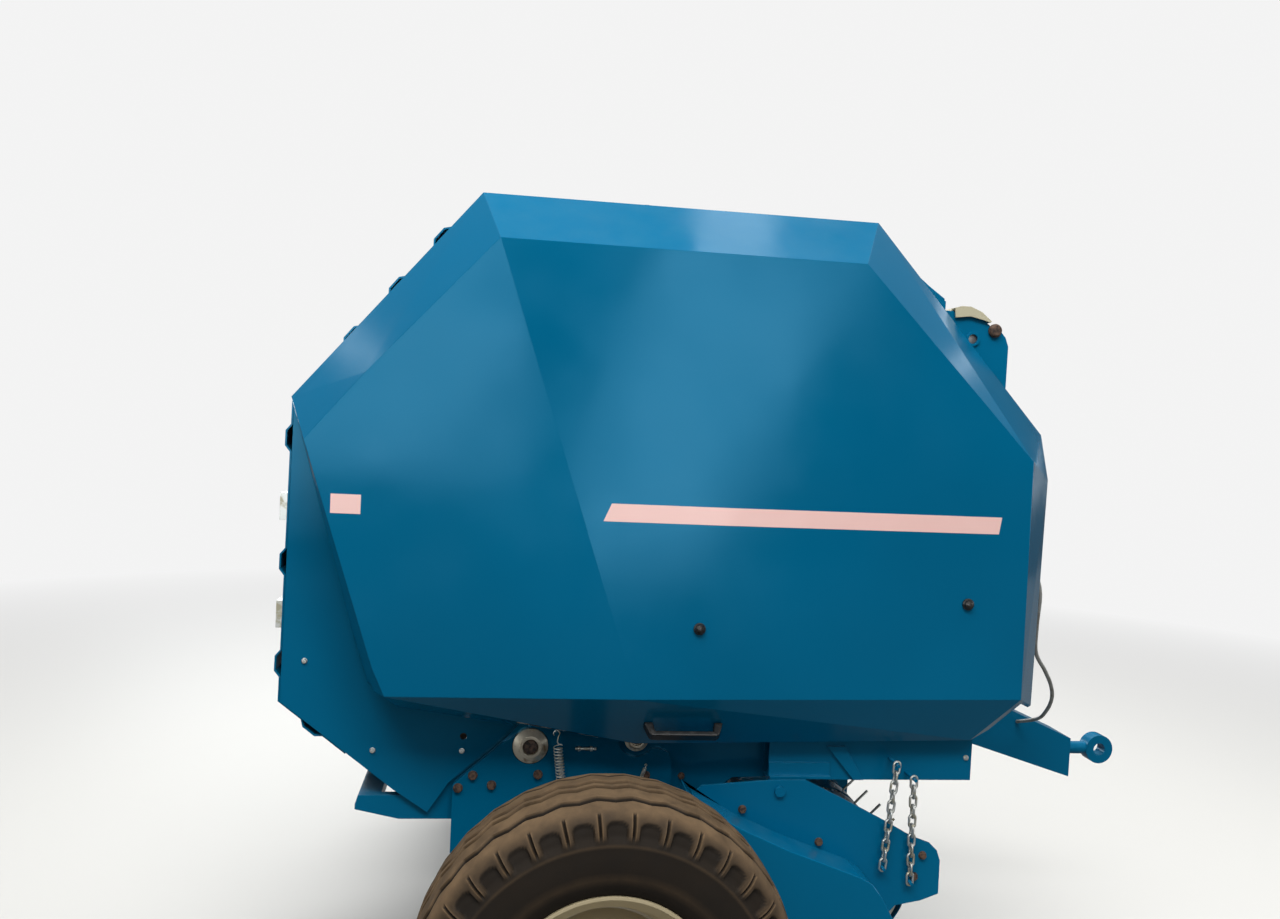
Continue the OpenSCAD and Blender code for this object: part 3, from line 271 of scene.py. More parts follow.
def enamel(name, base, deep, dust, gloss, **values):
    """Sprayed gloss enamel on sheet steel: a clear, even colour, a little deeper in clouds 700 mm across,
    with orange peel that makes its reflections swim, and thin dust on level faces. The peel is drawn
    7 mm apart, because finer marks wouldn't show."""
    made, tree, where, shader = finish_of(name, Metallic=0.0, **values)
    broad = add(tree, "ShaderNodeTexNoise", {"Scale": every(700), "Detail": 2.0}, Vector=where)
    cloud = add(tree, "ShaderNodeMapRange", {"From Min": 0.35, "From Max": 0.65}, Value=broad)
    paint = add(tree, "ShaderNodeMix", {"data_type": "RGBA", 6: colour(deep), 7: colour(base)}, _0=cloud)
    normal = add(tree, "ShaderNodeNewGeometry").outputs["Normal"]
    level = add(tree, "ShaderNodeSeparateXYZ", None, Vector=normal).outputs["Z"]
    lying = add(tree, "ShaderNodeMapRange", {"From Min": 0.7, "From Max": 1.0, "To Max": 0.3}, Value=level)
    grains = add(tree, "ShaderNodeTexNoise", {"Scale": every(55), "Detail": 6.0, "Roughness": 0.6},
                 Vector=where)
    patchy = add(tree, "ShaderNodeMapRange", {"From Min": 0.35, "From Max": 0.75}, Value=grains)
    dusty = add(tree, "ShaderNodeMath", {"operation": "MULTIPLY"}, _0=lying, _1=patchy)
    final = add(tree, "ShaderNodeMix", {"data_type": "RGBA", 7: colour(dust)}, _0=dusty, _6=paint)
    tree.links.new(final.outputs[2], shader.inputs["Base Color"])
    swirl = add(tree, "ShaderNodeTexNoise", {"Scale": every(160), "Detail": 5.0}, Vector=where)
    rough = add(tree, "ShaderNodeMapRange", {"From Min": 0.3, "From Max": 0.7, "To Min": gloss,
                                             "To Max": gloss + 0.12}, Value=swirl)
    tree.links.new(rough.outputs[0], shader.inputs["Roughness"])
    peel = add(tree, "ShaderNodeTexNoise", {"Scale": every(7), "Detail": 2.0, "Roughness": 0.4}, Vector=where)
    folds = add(tree, "ShaderNodeBevel", {"Radius": 1.5 * MM, "samples": 4})
    bump = add(tree, "ShaderNodeBump", {"Distance": 0.04 * MM}, Height=peel, Normal=folds)
    tree.links.new(bump.outputs[0], shader.inputs["Normal"])
    return made


def scuffed(name, base, stain, metallic, rough, patch_mm, depth_mm, amount=(0.5, 0.62), grain_mm=4):
    """A bare or plated metal, plastic or casting: its colour, stained in patches, with a fine grain.
    Metallic and rough each give the value on the clean face and in a stain, and amount gives the
    noise values between which a stain grows from nothing to full."""
    made, tree, where, shader = finish_of(name)
    patches = add(tree, "ShaderNodeTexNoise", {"Scale": every(patch_mm), "Detail": 7.0, "Roughness": 0.62},
                  Vector=where)
    spots = add(tree, "ShaderNodeMapRange", {"From Min": amount[0], "From Max": amount[1]}, Value=patches)
    tint = add(tree, "ShaderNodeMix", {"data_type": "RGBA", 6: colour(base), 7: colour(stain)}, _0=spots)
    tree.links.new(tint.outputs[2], shader.inputs["Base Color"])
    for socket, (clean, stained) in (("Metallic", metallic), ("Roughness", rough)):
        if clean == stained:
            shader.inputs[socket].default_value = clean
        else:
            value = add(tree, "ShaderNodeMapRange", {"To Min": clean, "To Max": stained}, Value=spots)
            tree.links.new(value.outputs[0], shader.inputs[socket])
    grain = add(tree, "ShaderNodeTexNoise", {"Scale": every(grain_mm), "Detail": 4.0}, Vector=where)
    folds = add(tree, "ShaderNodeBevel", {"Radius": 0.6 * MM, "samples": 4})
    bump = add(tree, "ShaderNodeBump", {"Distance": depth_mm * MM}, Height=grain, Normal=folds)
    tree.links.new(bump.outputs[0], shader.inputs["Normal"])
    return made


# Gloss enamel in bright blue, the colour of every sheet and beam: its gloss keeps the paint's own tint,
# so that it stays deep where it mirrors a pale hall.
blue_enamel = enamel("Blue gloss enamel, sprayed", "#00648b", "#005d82", "#4a7f90", 0.1, IOR=1.4,
                     Specular_Tint=(0.25, 0.7, 1.0, 1.0))
# Cream enamel on the net box's lid: warm off-white, a little yellow with age.
cream_enamel = enamel("Cream gloss enamel, sprayed", "#b9b296", "#b0a98c", "#9c937a", 0.24, IOR=1.5)
# Cream-beige wheel enamel: dull from road dust.
wheel_enamel = enamel("Wheel enamel, sprayed", "#c0b28f", "#ad9e7d", "#9d8f70", 0.42, IOR=1.5)
# Bright zinc plate, passivated: pale grey metal with slightly yellow clouds.
zinc_plate = scuffed("Zinc plated steel", "#c9c9c4", "#a8a18a", (0.9, 0.8), (0.34, 0.5), 22, 0.02)
# Bearing flange: pressed steel, silver grey with an oily, slightly rusty face.
bearing_steel = scuffed("Pressed bearing steel", "#d0c6b2", "#8a7458", (0.75, 0.4), (0.36, 0.6), 26, 0.04,
                        (0.54, 0.68))
# Mill scale and light rust on rollers and rods: dark grey metal that browns in blotches.
mill_steel = scuffed("Mill finish steel, light rust", "#6e6f70", "#5a3f2c", (0.9, 0.1), (0.42, 0.85), 60,
                     0.08, (0.5, 0.64))
# Surface rust on cut shaft ends and bolt heads: red-brown to nearly black, and quite rough.
rusty_steel = scuffed("Rusted steel", "#5e4636", "#2c201a", (0.2, 0.1), (0.7, 0.85), 9, 0.12, (0.45, 0.6), 2)
# Ground shaft steel: bright, lightly oiled.
ground_steel = scuffed("Ground shaft steel, oiled", "#9b9c9d", "#6b6250", (1.0, 0.8), (0.22, 0.42), 30, 0.01,
                       (0.55, 0.7))
# Sand-cast iron gearbox: dark grey with a coarse grain.
cast_iron = scuffed("Cast iron, sand cast", "#4a4c4e", "#37342f", (0.6, 0.4), (0.55, 0.7), 35, 0.35,
                    (0.45, 0.65), 3)
# Roller chain, oiled: nearly black steel with brown grease.
chain_steel = scuffed("Roller chain steel, greased", "#4a4742", "#23190f", (0.85, 0.4), (0.35, 0.55), 15,
                      0.03)
# Polyamide, moulded: nearly black with a fine satin texture, dusty in spots.
black_polyamide = scuffed("Black polyamide, moulded", "#161514", "#2b2621", (0.0, 0.0), (0.3, 0.55), 14,
                          0.03, (0.5, 0.7), 1.5)
# Soft PVC sheath on the control cable: pale grey and satin.
cable_sheath = scuffed("PVC cable sheath", "#9a9c98", "#7d7b72", (0.0, 0.0), (0.45, 0.55), 30, 0.02)


def tyre_finish():
    """Vulcanised tyre rubber: brown-black, with dry yellow-brown dust on the tread and shoulders.
    The piece's own dust value is about 1 on the crown's lands, and near 0 on the lower wall and in the cuts.
    In the cuts the bare dark rubber is painted shade, and the lighter slot lips are a painted highlight."""
    made, tree, where, shader = finish_of("Tyre rubber, vulcanised", IOR=1.25)
    dust = add(tree, "ShaderNodeAttribute", {"attribute_name": "dust"}).outputs["Fac"]
    grains = add(tree, "ShaderNodeTexNoise", {"Scale": every(45), "Detail": 6.0, "Roughness": 0.6},
                 Vector=where)
    cloud = add(tree, "ShaderNodeMapRange", {"From Min": 0.3, "From Max": 0.7, "To Min": 0.5}, Value=grains)
    broad = add(tree, "ShaderNodeTexNoise", {"Scale": every(120), "Detail": 3.0}, Vector=where)
    black = add(tree, "ShaderNodeMix", {"data_type": "RGBA", 6: colour("#0f0d0b"), 7: colour("#211b15")},
                _0=broad)
    # Through the dust value, this mix also draws the painted shade in the tyre's cuts and the painted
    # highlight on its slot lips.
    amount = add(tree, "ShaderNodeMath", {"operation": "MULTIPLY", "use_clamp": True}, _0=dust, _1=cloud)
    final = add(tree, "ShaderNodeMix", {"data_type": "RGBA", 7: colour("#6f5a42")}, _0=amount, _6=black)
    tree.links.new(final.outputs[2], shader.inputs["Base Color"])
    rough = add(tree, "ShaderNodeMapRange", {"To Min": 0.55, "To Max": 0.85}, Value=cloud)
    tree.links.new(rough.outputs[0], shader.inputs["Roughness"])
    grain = add(tree, "ShaderNodeTexNoise", {"Scale": every(3), "Detail": 4.0}, Vector=where)
    bump = add(tree, "ShaderNodeBump", {"Distance": 0.15 * MM}, Height=grain)
    tree.links.new(bump.outputs[0], shader.inputs["Normal"])
    return made


# Scale of the wave pattern that draws the net's threads, which puts them 12.3 mm apart
NET_WAVES = 160 / TAU


def net_finish():
    """Knitted polyethylene net wound on its core: white threads with grey gaps, drawn about twice as
    coarse as real ones, so that they show."""
    made, tree, where, shader = finish_of("Knitted polyethylene net", IOR=1.5, Roughness=0.6)
    waves = add(tree, "ShaderNodeTexWave", {"wave_type": "BANDS", "bands_direction": "Y", "Scale": NET_WAVES,
                                            "Distortion": 1.2, "Detail": 1.0}, Vector=where)
    gaps = add(tree, "ShaderNodeMapRange", {"From Min": 0.2, "From Max": 0.6}, Value=waves)
    tint = add(tree, "ShaderNodeMix", {"data_type": "RGBA", 6: colour("#b9bdb4"), 7: colour("#e9eae4")},
               _0=gaps)
    tree.links.new(tint.outputs[2], shader.inputs["Base Color"])
    bump = add(tree, "ShaderNodeBump", {"Distance": 0.6 * MM}, Height=waves.outputs["Fac"])
    tree.links.new(bump.outputs[0], shader.inputs["Normal"])
    return made


def stripe_finish():
    """Cast vinyl film: an even rosy white, satin, stuck flat on the enamel."""
    made, tree, where, shader = finish_of("Vinyl stripe, cut", IOR=1.5, Roughness=0.32)
    broad = add(tree, "ShaderNodeTexNoise", {"Scale": every(90), "Detail": 3.0}, Vector=where)
    tint = add(tree, "ShaderNodeMix", {"data_type": "RGBA", 6: colour("#f4cbc4"), 7: colour("#eec2ba")},
               _0=broad)
    tree.links.new(tint.outputs[2], shader.inputs["Base Color"])
    peel = add(tree, "ShaderNodeTexNoise", {"Scale": every(7), "Detail": 2.0}, Vector=where)
    bump = add(tree, "ShaderNodeBump", {"Distance": 0.03 * MM}, Height=peel)
    tree.links.new(bump.outputs[0], shader.inputs["Normal"])
    return made


tyre_rubber = tyre_finish()
net_white = net_finish()
stripe_vinyl = stripe_finish()

slot_looks = {"blue_paint": blue_enamel, "cream_paint": cream_enamel, "bare_steel": mill_steel,
              "zinc_plate": zinc_plate, "black_rubber": black_polyamide, "tyre_rubber": tyre_rubber,
              "chain_steel": chain_steel, "net_white": net_white, "black_plastic": black_polyamide}
node_looks = {"rim_right": wheel_enamel, "rim_left": wheel_enamel, "bearings": bearing_steel,
              "gearbox": cast_iron, "cross_shaft": ground_steel}
for node, thing in nodes.items():
    thing.data.materials.clear()
    thing.data.materials.append(node_looks.get(node, slot_looks[record_slots[node]]))


# Camera and control cable
# Place in metres, angles in degrees, focal length and width in the photograph's pixels
CAMERA_AT = (-0.675, -2.836, 1.473)
YAW, PITCH, ROLL = 7.51, -2.29, 2.87
FOCAL_PX, PHOTO_W = 1026, 1280
SENSOR_MM = 36


def aimed_camera():
    """The photograph's camera: turned by its yaw, tilted by its pitch, then rolled."""
    yaw, pitch, roll = (math.radians(v) for v in (YAW, PITCH, ROLL))
    ahead = np.array([math.sin(yaw) * math.cos(pitch), math.cos(yaw) * math.cos(pitch), math.sin(pitch)])
    right = np.array([math.cos(yaw), -math.sin(yaw), 0])
    up = np.cross(right, ahead)
    side, top = math.cos(roll) * right + math.sin(roll) * up, -math.sin(roll) * right + math.cos(roll) * up
    lens = bpy.data.cameras.new("photo camera")
    lens.sensor_width = SENSOR_MM
    lens.lens = FOCAL_PX / PHOTO_W * lens.sensor_width
    lens.clip_end = 60
    camera = bpy.data.objects.new("photo camera", lens)
    rows = [[side[i], top[i], -ahead[i], CAMERA_AT[i]] for i in range(3)]
    camera.matrix_world = Matrix(rows + [[0, 0, 0, 1]])
    bpy.context.scene.collection.objects.link(camera)
    bpy.context.scene.camera = camera


aimed_camera()

# The cable's route, as in the part's source: station, side and height of each held or hanging point
cable_route = [(885.3, -504, 1230), (960, -504, 1220), (1035, -503, 1170), (1070, -500, 1105),
               (1085, -470, 1010), (1110, -430, 935), (1160, -390, 880), (1202, -350, 832), (1236, -300, 785),
               (1270, -220, 730), (1284, -150, 685), (1271, -62.4, 650)]
CABLE_D = 10
cable_line = at(*rounded_line(cable_route, 6).T)
cable_tube = tube(cable_line, CABLE_D / 2 * MM)
cable = make("control_cable_sheath", cable_tube, cable_sheath, "chassis", 60)
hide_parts("control_cable")


# Sheet metal and mouldings with rolled edges
for node in ("door_right", "door_left", "roof", "pickup_guards"):
    softened(node, 2.5, blue_enamel)
softened("front_panel", 2.0, blue_enamel)
softened("net_box", 1.5, blue_enamel)
softened("drawbar", 3.0, blue_enamel)
softened("tow_eye", 6.0, blue_enamel, angle=50, segments=3)
softened("net_lid", 1.6, cream_enamel, angle=40)
softened("gearbox", 3.0, cast_iron)
for node in ("handle_right", "handle_left"):
    softened(node, 3.5, black_polyamide, segments=3)


# A thin blue enamel sheet on each side behind the slit between the fixed wall and the tailgate's wall, put
# there as painted shade: it closes the slit so that the slit shows dark
SPLIT = np.array([(-324, 626), (-219, 720), (-55, 900)])
STRIP_HALF = (18, 0)
STRIP_FACES_Y = (494.6, 495.0)
for side, word in SIDES.items():
    x, z = np.concatenate([SPLIT - STRIP_HALF, SPLIT[::-1] + STRIP_HALF]).T
    points, faces = ringed(np.stack([at(x, side * y, z) for y in STRIP_FACES_Y]))
    make("slit_shade_sheet_" + word, (points, outward(faces, side)), blue_enamel, "chassis", 30)


# Tyres
TYRE_R, WHEEL_Y, AXLE_Z, RIM_R = 380, 880, 380, 212
# Blocks round the tyre, sideways sway of the crown's rows, and distances of the grooves from the middle
BLOCKS, SWAY, GROOVES = 34, 6, (13, 64)
# Depths of the grooves, of the slots between shoulder blocks and of the scoops in the blocks
GROOVE_DEEP, SLOT_DEEP, SCOOP_DEEP = 11, 9, 11
# Grid lines over one block, closer together at its slot and its arch
BLOCK_STEPS = (0, 0.03, 0.06, 0.1, 0.16, 0.22, 0.28, 0.36, 0.5, 0.64, 0.72, 0.78, 0.84, 0.9, 0.94, 0.97)


def tyre_profile():
    """Rows of (radius, width) over the tyre: a smooth line through its section, with rows 2.6 mm apart
    on the tread, 4.5 mm on the shoulder and 14 mm on the wall."""
    half = rounded_line([[RIM_R - 20, 92], [RIM_R + 10, 120], [RIM_R + 32, 127.5], [RIM_R + 58, 131],
                         [RIM_R + 90, 130.5], [336, 124.5], [354, 113.5], [367.5, 95.5], [374.5, 69.5],
                         [379, 32], [379.6, 0]], 24)
    gaps = np.linalg.norm(np.diff(half, axis=0), axis=1)
    spacing = np.select([half[1:, 0] > 352, half[1:, 0] > 308], [2.6, 4.5], 14)
    run = np.concatenate([[0], np.cumsum(gaps / spacing)])
    rows = np.linspace(0, run[-1], int(run[-1]) + 1)
    half = np.stack([np.interp(rows, run, half[:, 0]), np.interp(rows, run, half[:, 1])], -1)
    return np.concatenate([half, half[-2::-1] * (1, -1)])


def tyre_surface(side):
    """Radius over angle and width: a rounded crown cut by four grooves, with shoulder blocks that have
    a slot on each side and a scooped arch in their flank, and moulded rings on the wall.
    The crown's rows run to and fro across the width as a triangle wave, once for each block, and
    the grooves follow them. Each cut is a smooth step of the distance from its middle line.
    The dust value is dust on the crown's lands. On the slots' lips it is a painted highlight, and its drop to
    near 0 in the cuts is painted shade."""
    profile = tyre_profile()
    turn = (np.arange(BLOCKS)[:, None] + np.array(BLOCK_STEPS)).ravel() / BLOCKS
    phase, r, w = np.broadcast_arrays(((turn * BLOCKS) % 1)[None, :], profile[:, :1], profile[:, 1:])
    flank = np.where(w < 0, (phase + 0.5) % 1, phase)
    aside = np.abs(w)
    weave = SWAY * (1 - 4 * np.abs(phase - 0.5)) * step(r, 345, 362) * (1 - step(aside, 74, 98))
    from_groove = np.min([np.abs(aside - middle) for middle in GROOVES], axis=0)
    groove = GROOVE_DEEP * (1 - step(from_groove, 4.6, 7.6))
    pitch = TAU * TYRE_R / BLOCKS
    from_seam = np.minimum(flank, 1 - flank) * pitch
    outside = step(aside, 100, 106)
    slot = SLOT_DEEP * (1 - step(from_seam, 1.2, 3.4)) * outside * step(r, 318, 332)
    lip = np.exp(-((from_seam - 5) / 1.5) ** 2) * step(r, 318, 330) * outside
    arch = np.sqrt(np.clip(1 - ((pitch / 2 - from_seam) / 22) ** 2, 0, 1))
    scoop = (SCOOP_DEEP * step(346 + 9 * arch - r, 0, 5) * step(r, 316, 330) * step(arch, 0.15, 0.5)
             * step(aside, 104, 108))
    ring = (1.2 * np.exp(-((r - 312) / 2.5) ** 2) + 0.9 * np.exp(-((r - 298) / 2) ** 2)
            + np.exp(-((r - 250) / 2.5) ** 2)) * step(aside, 118, 122)
    lean = step(aside, 100, 128)
    down = np.maximum(groove, np.maximum(slot, scoop))
    radius = r - down * (1 - 0.75 * lean)
    width = w + weave + np.sign(w) * (0.8 * ring + 1.2 * lip - 0.75 * down * lean)
    a = (turn * TAU)[None, :]
    points = at(radius * np.cos(a), side * (WHEEL_Y + width), AXLE_Z + radius * np.sin(a))
    # Dust on the crown's lands and shoulders. The factor on down is painted shade: it takes the dust out of
    # the grooves, slots and scoops so that they render dark. The 0.8 * lip term paints a highlight on the
    # slots' lips.
    lying = (0.3 * step(r, 318, 332) + 0.7 * step(r, 352, 373)) * (1 - step(down, 0.5, 2.5))
    dust = lying + 0.8 * lip + 0.2 * ring + 0.05
    faces = grid_faces(len(profile), len(turn), close_rows=True, close_cols=True)
    return (points.reshape(-1, 3), outward([faces], side)), dust


for side, word in SIDES.items():
    shape, dust = tyre_surface(side)
    piece = make("tyre_tread_" + word, shape, tyre_rubber, "wheel_" + word, 50, {"dust": dust})
    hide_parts("tyre_" + word)


# Fasteners
def hexagon_head(flats, height):
    """A hexagon head with a chamfered top, standing on a washer, along its own Z."""
    r = flats / math.sqrt(3)
    foot, up = (0, 0, 0), (0, 0, 1)
    washer = turned([(r * 1.12, 0.0), (r * 1.12, 1.3), (r * 1.04, 1.6)], foot, up, 14)
    chamfer = [(r, height * 0.82), (r * 0.86, height), (r * 0.3, height * 1.03)]
    head = turned([(r, 1.5)] + chamfer, foot, up, 6)
    return joined([washer, head])


def bolts(name, body, material, flats, height, spots, axis):
    """A row of equal bolts on one face, each head turned by another angle. Columns of spots: x, y, z of
    the face under each head."""
    places = at(*np.asarray(spots, float).T)
    axes = np.broadcast_to(np.asarray(axis, float), places.shape)
    spin = np.arange(len(places)) * 1.9
    across = unit(np.cross(axes[0], ASLANT))
    ups = np.cos(spin)[:, None] * across + np.sin(spin)[:, None] * np.cross(axes[0], across)
    heads = placed(hexagon_head(flats, height), places, ups, axes)
    return make(name, heads, material, body, 30)


# Bolts on the sides. Columns: name, body, flats, head, y of the face, material, [x, z] pairs
side_bolts = [
    ("axle_plate_bolts", "chassis", 17, 9, 520, rusty_steel,
     [(-275, 648), (-232, 626), (-307, 619), (-128, 651), (120, 650), (150, 560)]),
    ("wall_foot_bolt", "chassis", 13, 7, 508, rusty_steel, [(206, 645)]),
    ("frame_end_bolt", "chassis", 10, 5, 558, zinc_plate, [(879, 709)]),
    ("plate_bolts", "pickup", 15, 8, 591, rusty_steel, [(335, 598), (519, 522), (771, 489), (753, 439)]),
    ("wall_bolts", "tailgate", 10, 5, 508, zinc_plate, [(-302, 700), (-655, 900), (-500, 700)]),
]
for name, body, flats, head, y, material, pairs in side_bolts:
    for side, word in SIDES.items():
        spots = [(x, side * y, z) for x, z in pairs]
        bolts(f"{name}_{word}", body, material, flats, head, spots, (0, side, 0))

# Wheel nuts on the disc, whose face lies outside the wheel's middle
NUT_RING, NUTS, DISC_FACE = 77, 6, 24
for side, word in SIDES.items():
    a = np.arange(NUTS) * TAU / NUTS + 0.4
    face_y = np.full(NUTS, side * (WHEEL_Y + DISC_FACE))
    spots = np.stack([NUT_RING * np.cos(a), face_y, AXLE_Z + NUT_RING * np.sin(a)], -1)
    bolts("wheel_nuts_" + word, "wheel_" + word, zinc_plate, 24, 16, spots, (0, side, 0))

# Bolts at the front: the tray's face, the gearbox's cover and its feet
TRAY_FACE_X, GEAR_FACE_X, GEAR_Z = 901, 890, 978
COVER_RING, COVER_BOLTS = 42, 6
FOOT_BOLT_Y, FOOT_Z = 67, 917
tray_pairs = ((85, 690), (85, 850), (300, 690), (300, 860), (470, 690), (470, 860))
tray_spots = [(TRAY_FACE_X, side * y, z) for side in (RIGHT, LEFT) for y, z in tray_pairs]
cover_spots = [(GEAR_FACE_X, COVER_RING * math.cos(a), GEAR_Z + COVER_RING * math.sin(a))
               for a in np.arange(COVER_BOLTS) * TAU / COVER_BOLTS + 0.5]
foot_spots = [(x, side * FOOT_BOLT_Y, FOOT_Z) for side in (RIGHT, LEFT) for x in (778, 862)]
bolts("tray_bolts", "chassis", zinc_plate, 19, 10, tray_spots, (1, 0, 0))
bolts("gearbox_cover_bolts", "chassis", zinc_plate, 13, 6, cover_spots, (1, 0, 0))
bolts("gearbox_foot_bolts", "chassis", zinc_plate, 13, 7, foot_spots, (0, 0, 1))


# Rusty shaft ends in the bearings: two floor rollers, then the ring of rollers round the chamber.
# On the left the drive's chains take the place of two of them. Columns: x, z, radius
CHAMBER_X, CHAMBER_Z, RING_R = -20, 1300, 536
FIRST_ROLLER, ROLLER_STEP, ROLLERS = 67.5, 21.75, 6
BEARING_FACE_Y = 523.5
shaft_ends = [(-148, 716, 16.5), (95, 734, 10.5)]
for a in np.radians(FIRST_ROLLER - ROLLER_STEP * np.arange(ROLLERS)):
    shaft_ends.append((CHAMBER_X + RING_R * math.cos(a), CHAMBER_Z + RING_R * math.sin(a), 16.5))
CHAIN_SIDE_ENDS = (1, 7)


def shaft_end(x, z, r, side):
    """A cut shaft with a chamfer and a centre hole, on the bearing's face."""
    foot = at(x, side * BEARING_FACE_Y, z)
    return turned([(r, 0), (r, 3.2), (r - 2.5, 5), (3.5, 5), (2, 3)], foot, (0, side, 0))


for side, word in SIDES.items():
    rows = [row for i, row in enumerate(shaft_ends) if side == RIGHT or i not in CHAIN_SIDE_ENDS]
    ends = joined([shaft_end(*row, side) for row in rows])
    make("shaft_ends_" + word, ends, rusty_steel, "chassis", 30)

# Catch of the net box's lid on each side: a rusty turned knob over its stub
CATCH_X, CATCH_Y, CATCH_Z = 915, 492.2, 1725
for side, word in SIDES.items():
    knob = turned([(14.4, 0), (16.2, 1.5), (16.2, 6.5), (14.4, 8.5), (14.4, 10.6), (11, 13), (4, 13.6)],
                  at(CATCH_X, side * CATCH_Y, CATCH_Z), (0, side, 0), 28)
    make("lid_catch_" + word, knob, rusty_steel, "chassis", 30)


# Springs and the tensioner's screw
def spring_wire(top, foot, y, side, coil_r, wire_r, coil_len, turns, hook):
    """Wire of a tension spring: a helix on the line between two pins, and a hook round each pin."""
    top, foot = np.asarray(top, float), np.asarray(foot, float)
    span = np.linalg.norm(top - foot)
    along = unit(top - foot)
    lead = (span - coil_len) / 2
    a = TAU * turns * np.linspace(0, 1, turns * 14)
    coil = np.stack([coil_r * np.cos(a), coil_r * np.sin(a), lead + coil_len * np.linspace(0, 1, len(a))], -1)
    bend = rounded_line([[-0.7 * hook, 0, 0.7 * hook], [-hook, 0, 0], [0, 0, -hook], [hook, 0, 0],
                         [0.5 * hook, 0, 1.1 * hook], [0, 0, 0.75 * lead], [0.7 * coil_r, 0, lead - 1.5]], 5)
    path = np.concatenate([bend, coil, (bend * (1, 1, -1) + (0, 0, span))[::-1]])
    u, v, w = path.T
    x, z = foot[0] + along[0] * w + along[1] * u, foot[1] + along[1] * w - along[0] * u
    return tube(at(x, side * (y + v), z), wire_r * MM, 8)


# Columns: upper pin, lower pin, y, then the coil's side, radius, wire radius, length, turns and hook radius
tension = [spring_wire((-91, 753), (-72, 610), 540, side, 10, 1.5, 86, 12, 7.2) for side in SIDES]
returning = [spring_wire((119, 676), (108, 640), 525.5, side, 4, 0.9, 22, 8, 2.6) for side in SIDES]
piece = make("tension_spring_coils", joined(tension), zinc_plate, "chassis", 60)
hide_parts("tension_springs")
make("return_springs", joined(returning), zinc_plate, "chassis", 60)

# Tensioner's screw along the axle plate, with two nuts: a rod whose radius waves once a thread
SCREW_X, SCREW_Y, SCREW_Z, SCREW_LONG = -46, 526, 713, 48
SCREW_R, THREAD_HALF, THREAD_PITCH = 3.6, 0.5, 2
NUTS_X = np.array([-40, -12])
along = np.arange(0, SCREW_LONG + 0.1, 0.5)
thread = np.stack([SCREW_R + THREAD_HALF * np.cos(TAU * along / THREAD_PITCH), along], -1)
for side, word in SIDES.items():
    rod = turned(thread, at(SCREW_X, side * SCREW_Y, SCREW_Z), (1, 0, 0), 12)
    places = at(NUTS_X, side * SCREW_Y, SCREW_Z)
    nuts = placed(hexagon_head(10, 6), places, np.array([[0, 0, 1.0]] * 2), np.array([[1.0, 0, 0]] * 2))
    make("tension_screw_" + word, joined([rod, nuts]), zinc_plate, "chassis", 30)


# Lift chains of welded links
def oval_link(length, width, wire, around=24, sides=8):
    """A welded link of round wire: a tube along two half circles joined by straight runs, flat in XZ."""
    r, straight = (width - wire) / 2, (length - width) / 2
    a = np.linspace(0, TAU, around, endpoint=False)
    middle = np.stack([r * np.cos(a), 0 * a, r * np.sin(a) + straight * np.where(np.sin(a) >= 0, 1, -1)], -1)
    out = np.stack([np.cos(a), 0 * a, np.sin(a)], -1)
    b = np.arange(sides) * TAU / sides
    points = middle[:, None] + wire / 2 * (np.cos(b)[None, :, None] * out[:, None]
                                          + np.sin(b)[None, :, None] * np.array([0, 1, 0]))
    return points.reshape(-1, 3) * MM, [grid_faces(around, sides, True, True)]


LINK_PITCH, PIN_REACH, LINKS, CHAIN_Y = 22.7, 7.2, 11, 607
link = oval_link(35, 21, 6)
# Columns: station and height of the lower pin, and the chain's lean in degrees
lift_chains = [(669, 467, 5), (737, 433, -1)]
for side, word in SIDES.items():
    for number, (x0, z0, lean) in enumerate(lift_chains):
        way = np.array([math.sin(math.radians(lean)), 0, math.cos(math.radians(lean))])
        reach = PIN_REACH + LINK_PITCH * np.arange(LINKS)
        places = at(x0 + reach * way[0], side * CHAIN_Y, z0 + reach * way[2])
        flat = np.where(np.arange(LINKS)[:, None] % 2 == 0, np.array([[1.0, 0, 0]]), np.array([[0, 1.0, 0]]))
        shape = placed(link, places, flat, np.broadcast_to(way, flat.shape))
        piece = make(f"lift_chain_{word}_{number + 1}", shape, zinc_plate, None, 60)
        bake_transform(piece)
        if number == 0 and side == RIGHT:
            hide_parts("lift_chains")


# Roller chains of the drive
CHAIN_PITCH, PLATE_W = 19.05, 9


def stadium(length, width, y0, y1, around=6):
    """A chain's side plate: a flat bar with round ends, long in X, between two heights along Z."""
    a = np.concatenate([np.linspace(-0.5, 0.5, around), np.linspace(0.5, 1.5, around)]) * math.pi
    shift = np.repeat([0.5, -0.5], around) * (length - width)
    outline = np.stack([width / 2 * np.cos(a) + shift, width / 2 * np.sin(a)], -1)
    rings = np.stack([np.concatenate([outline, np.full((len(a), 1), y)], -1) for y in (y0, y1)])
    points, faces = ringed(rings)
    return points * MM, faces


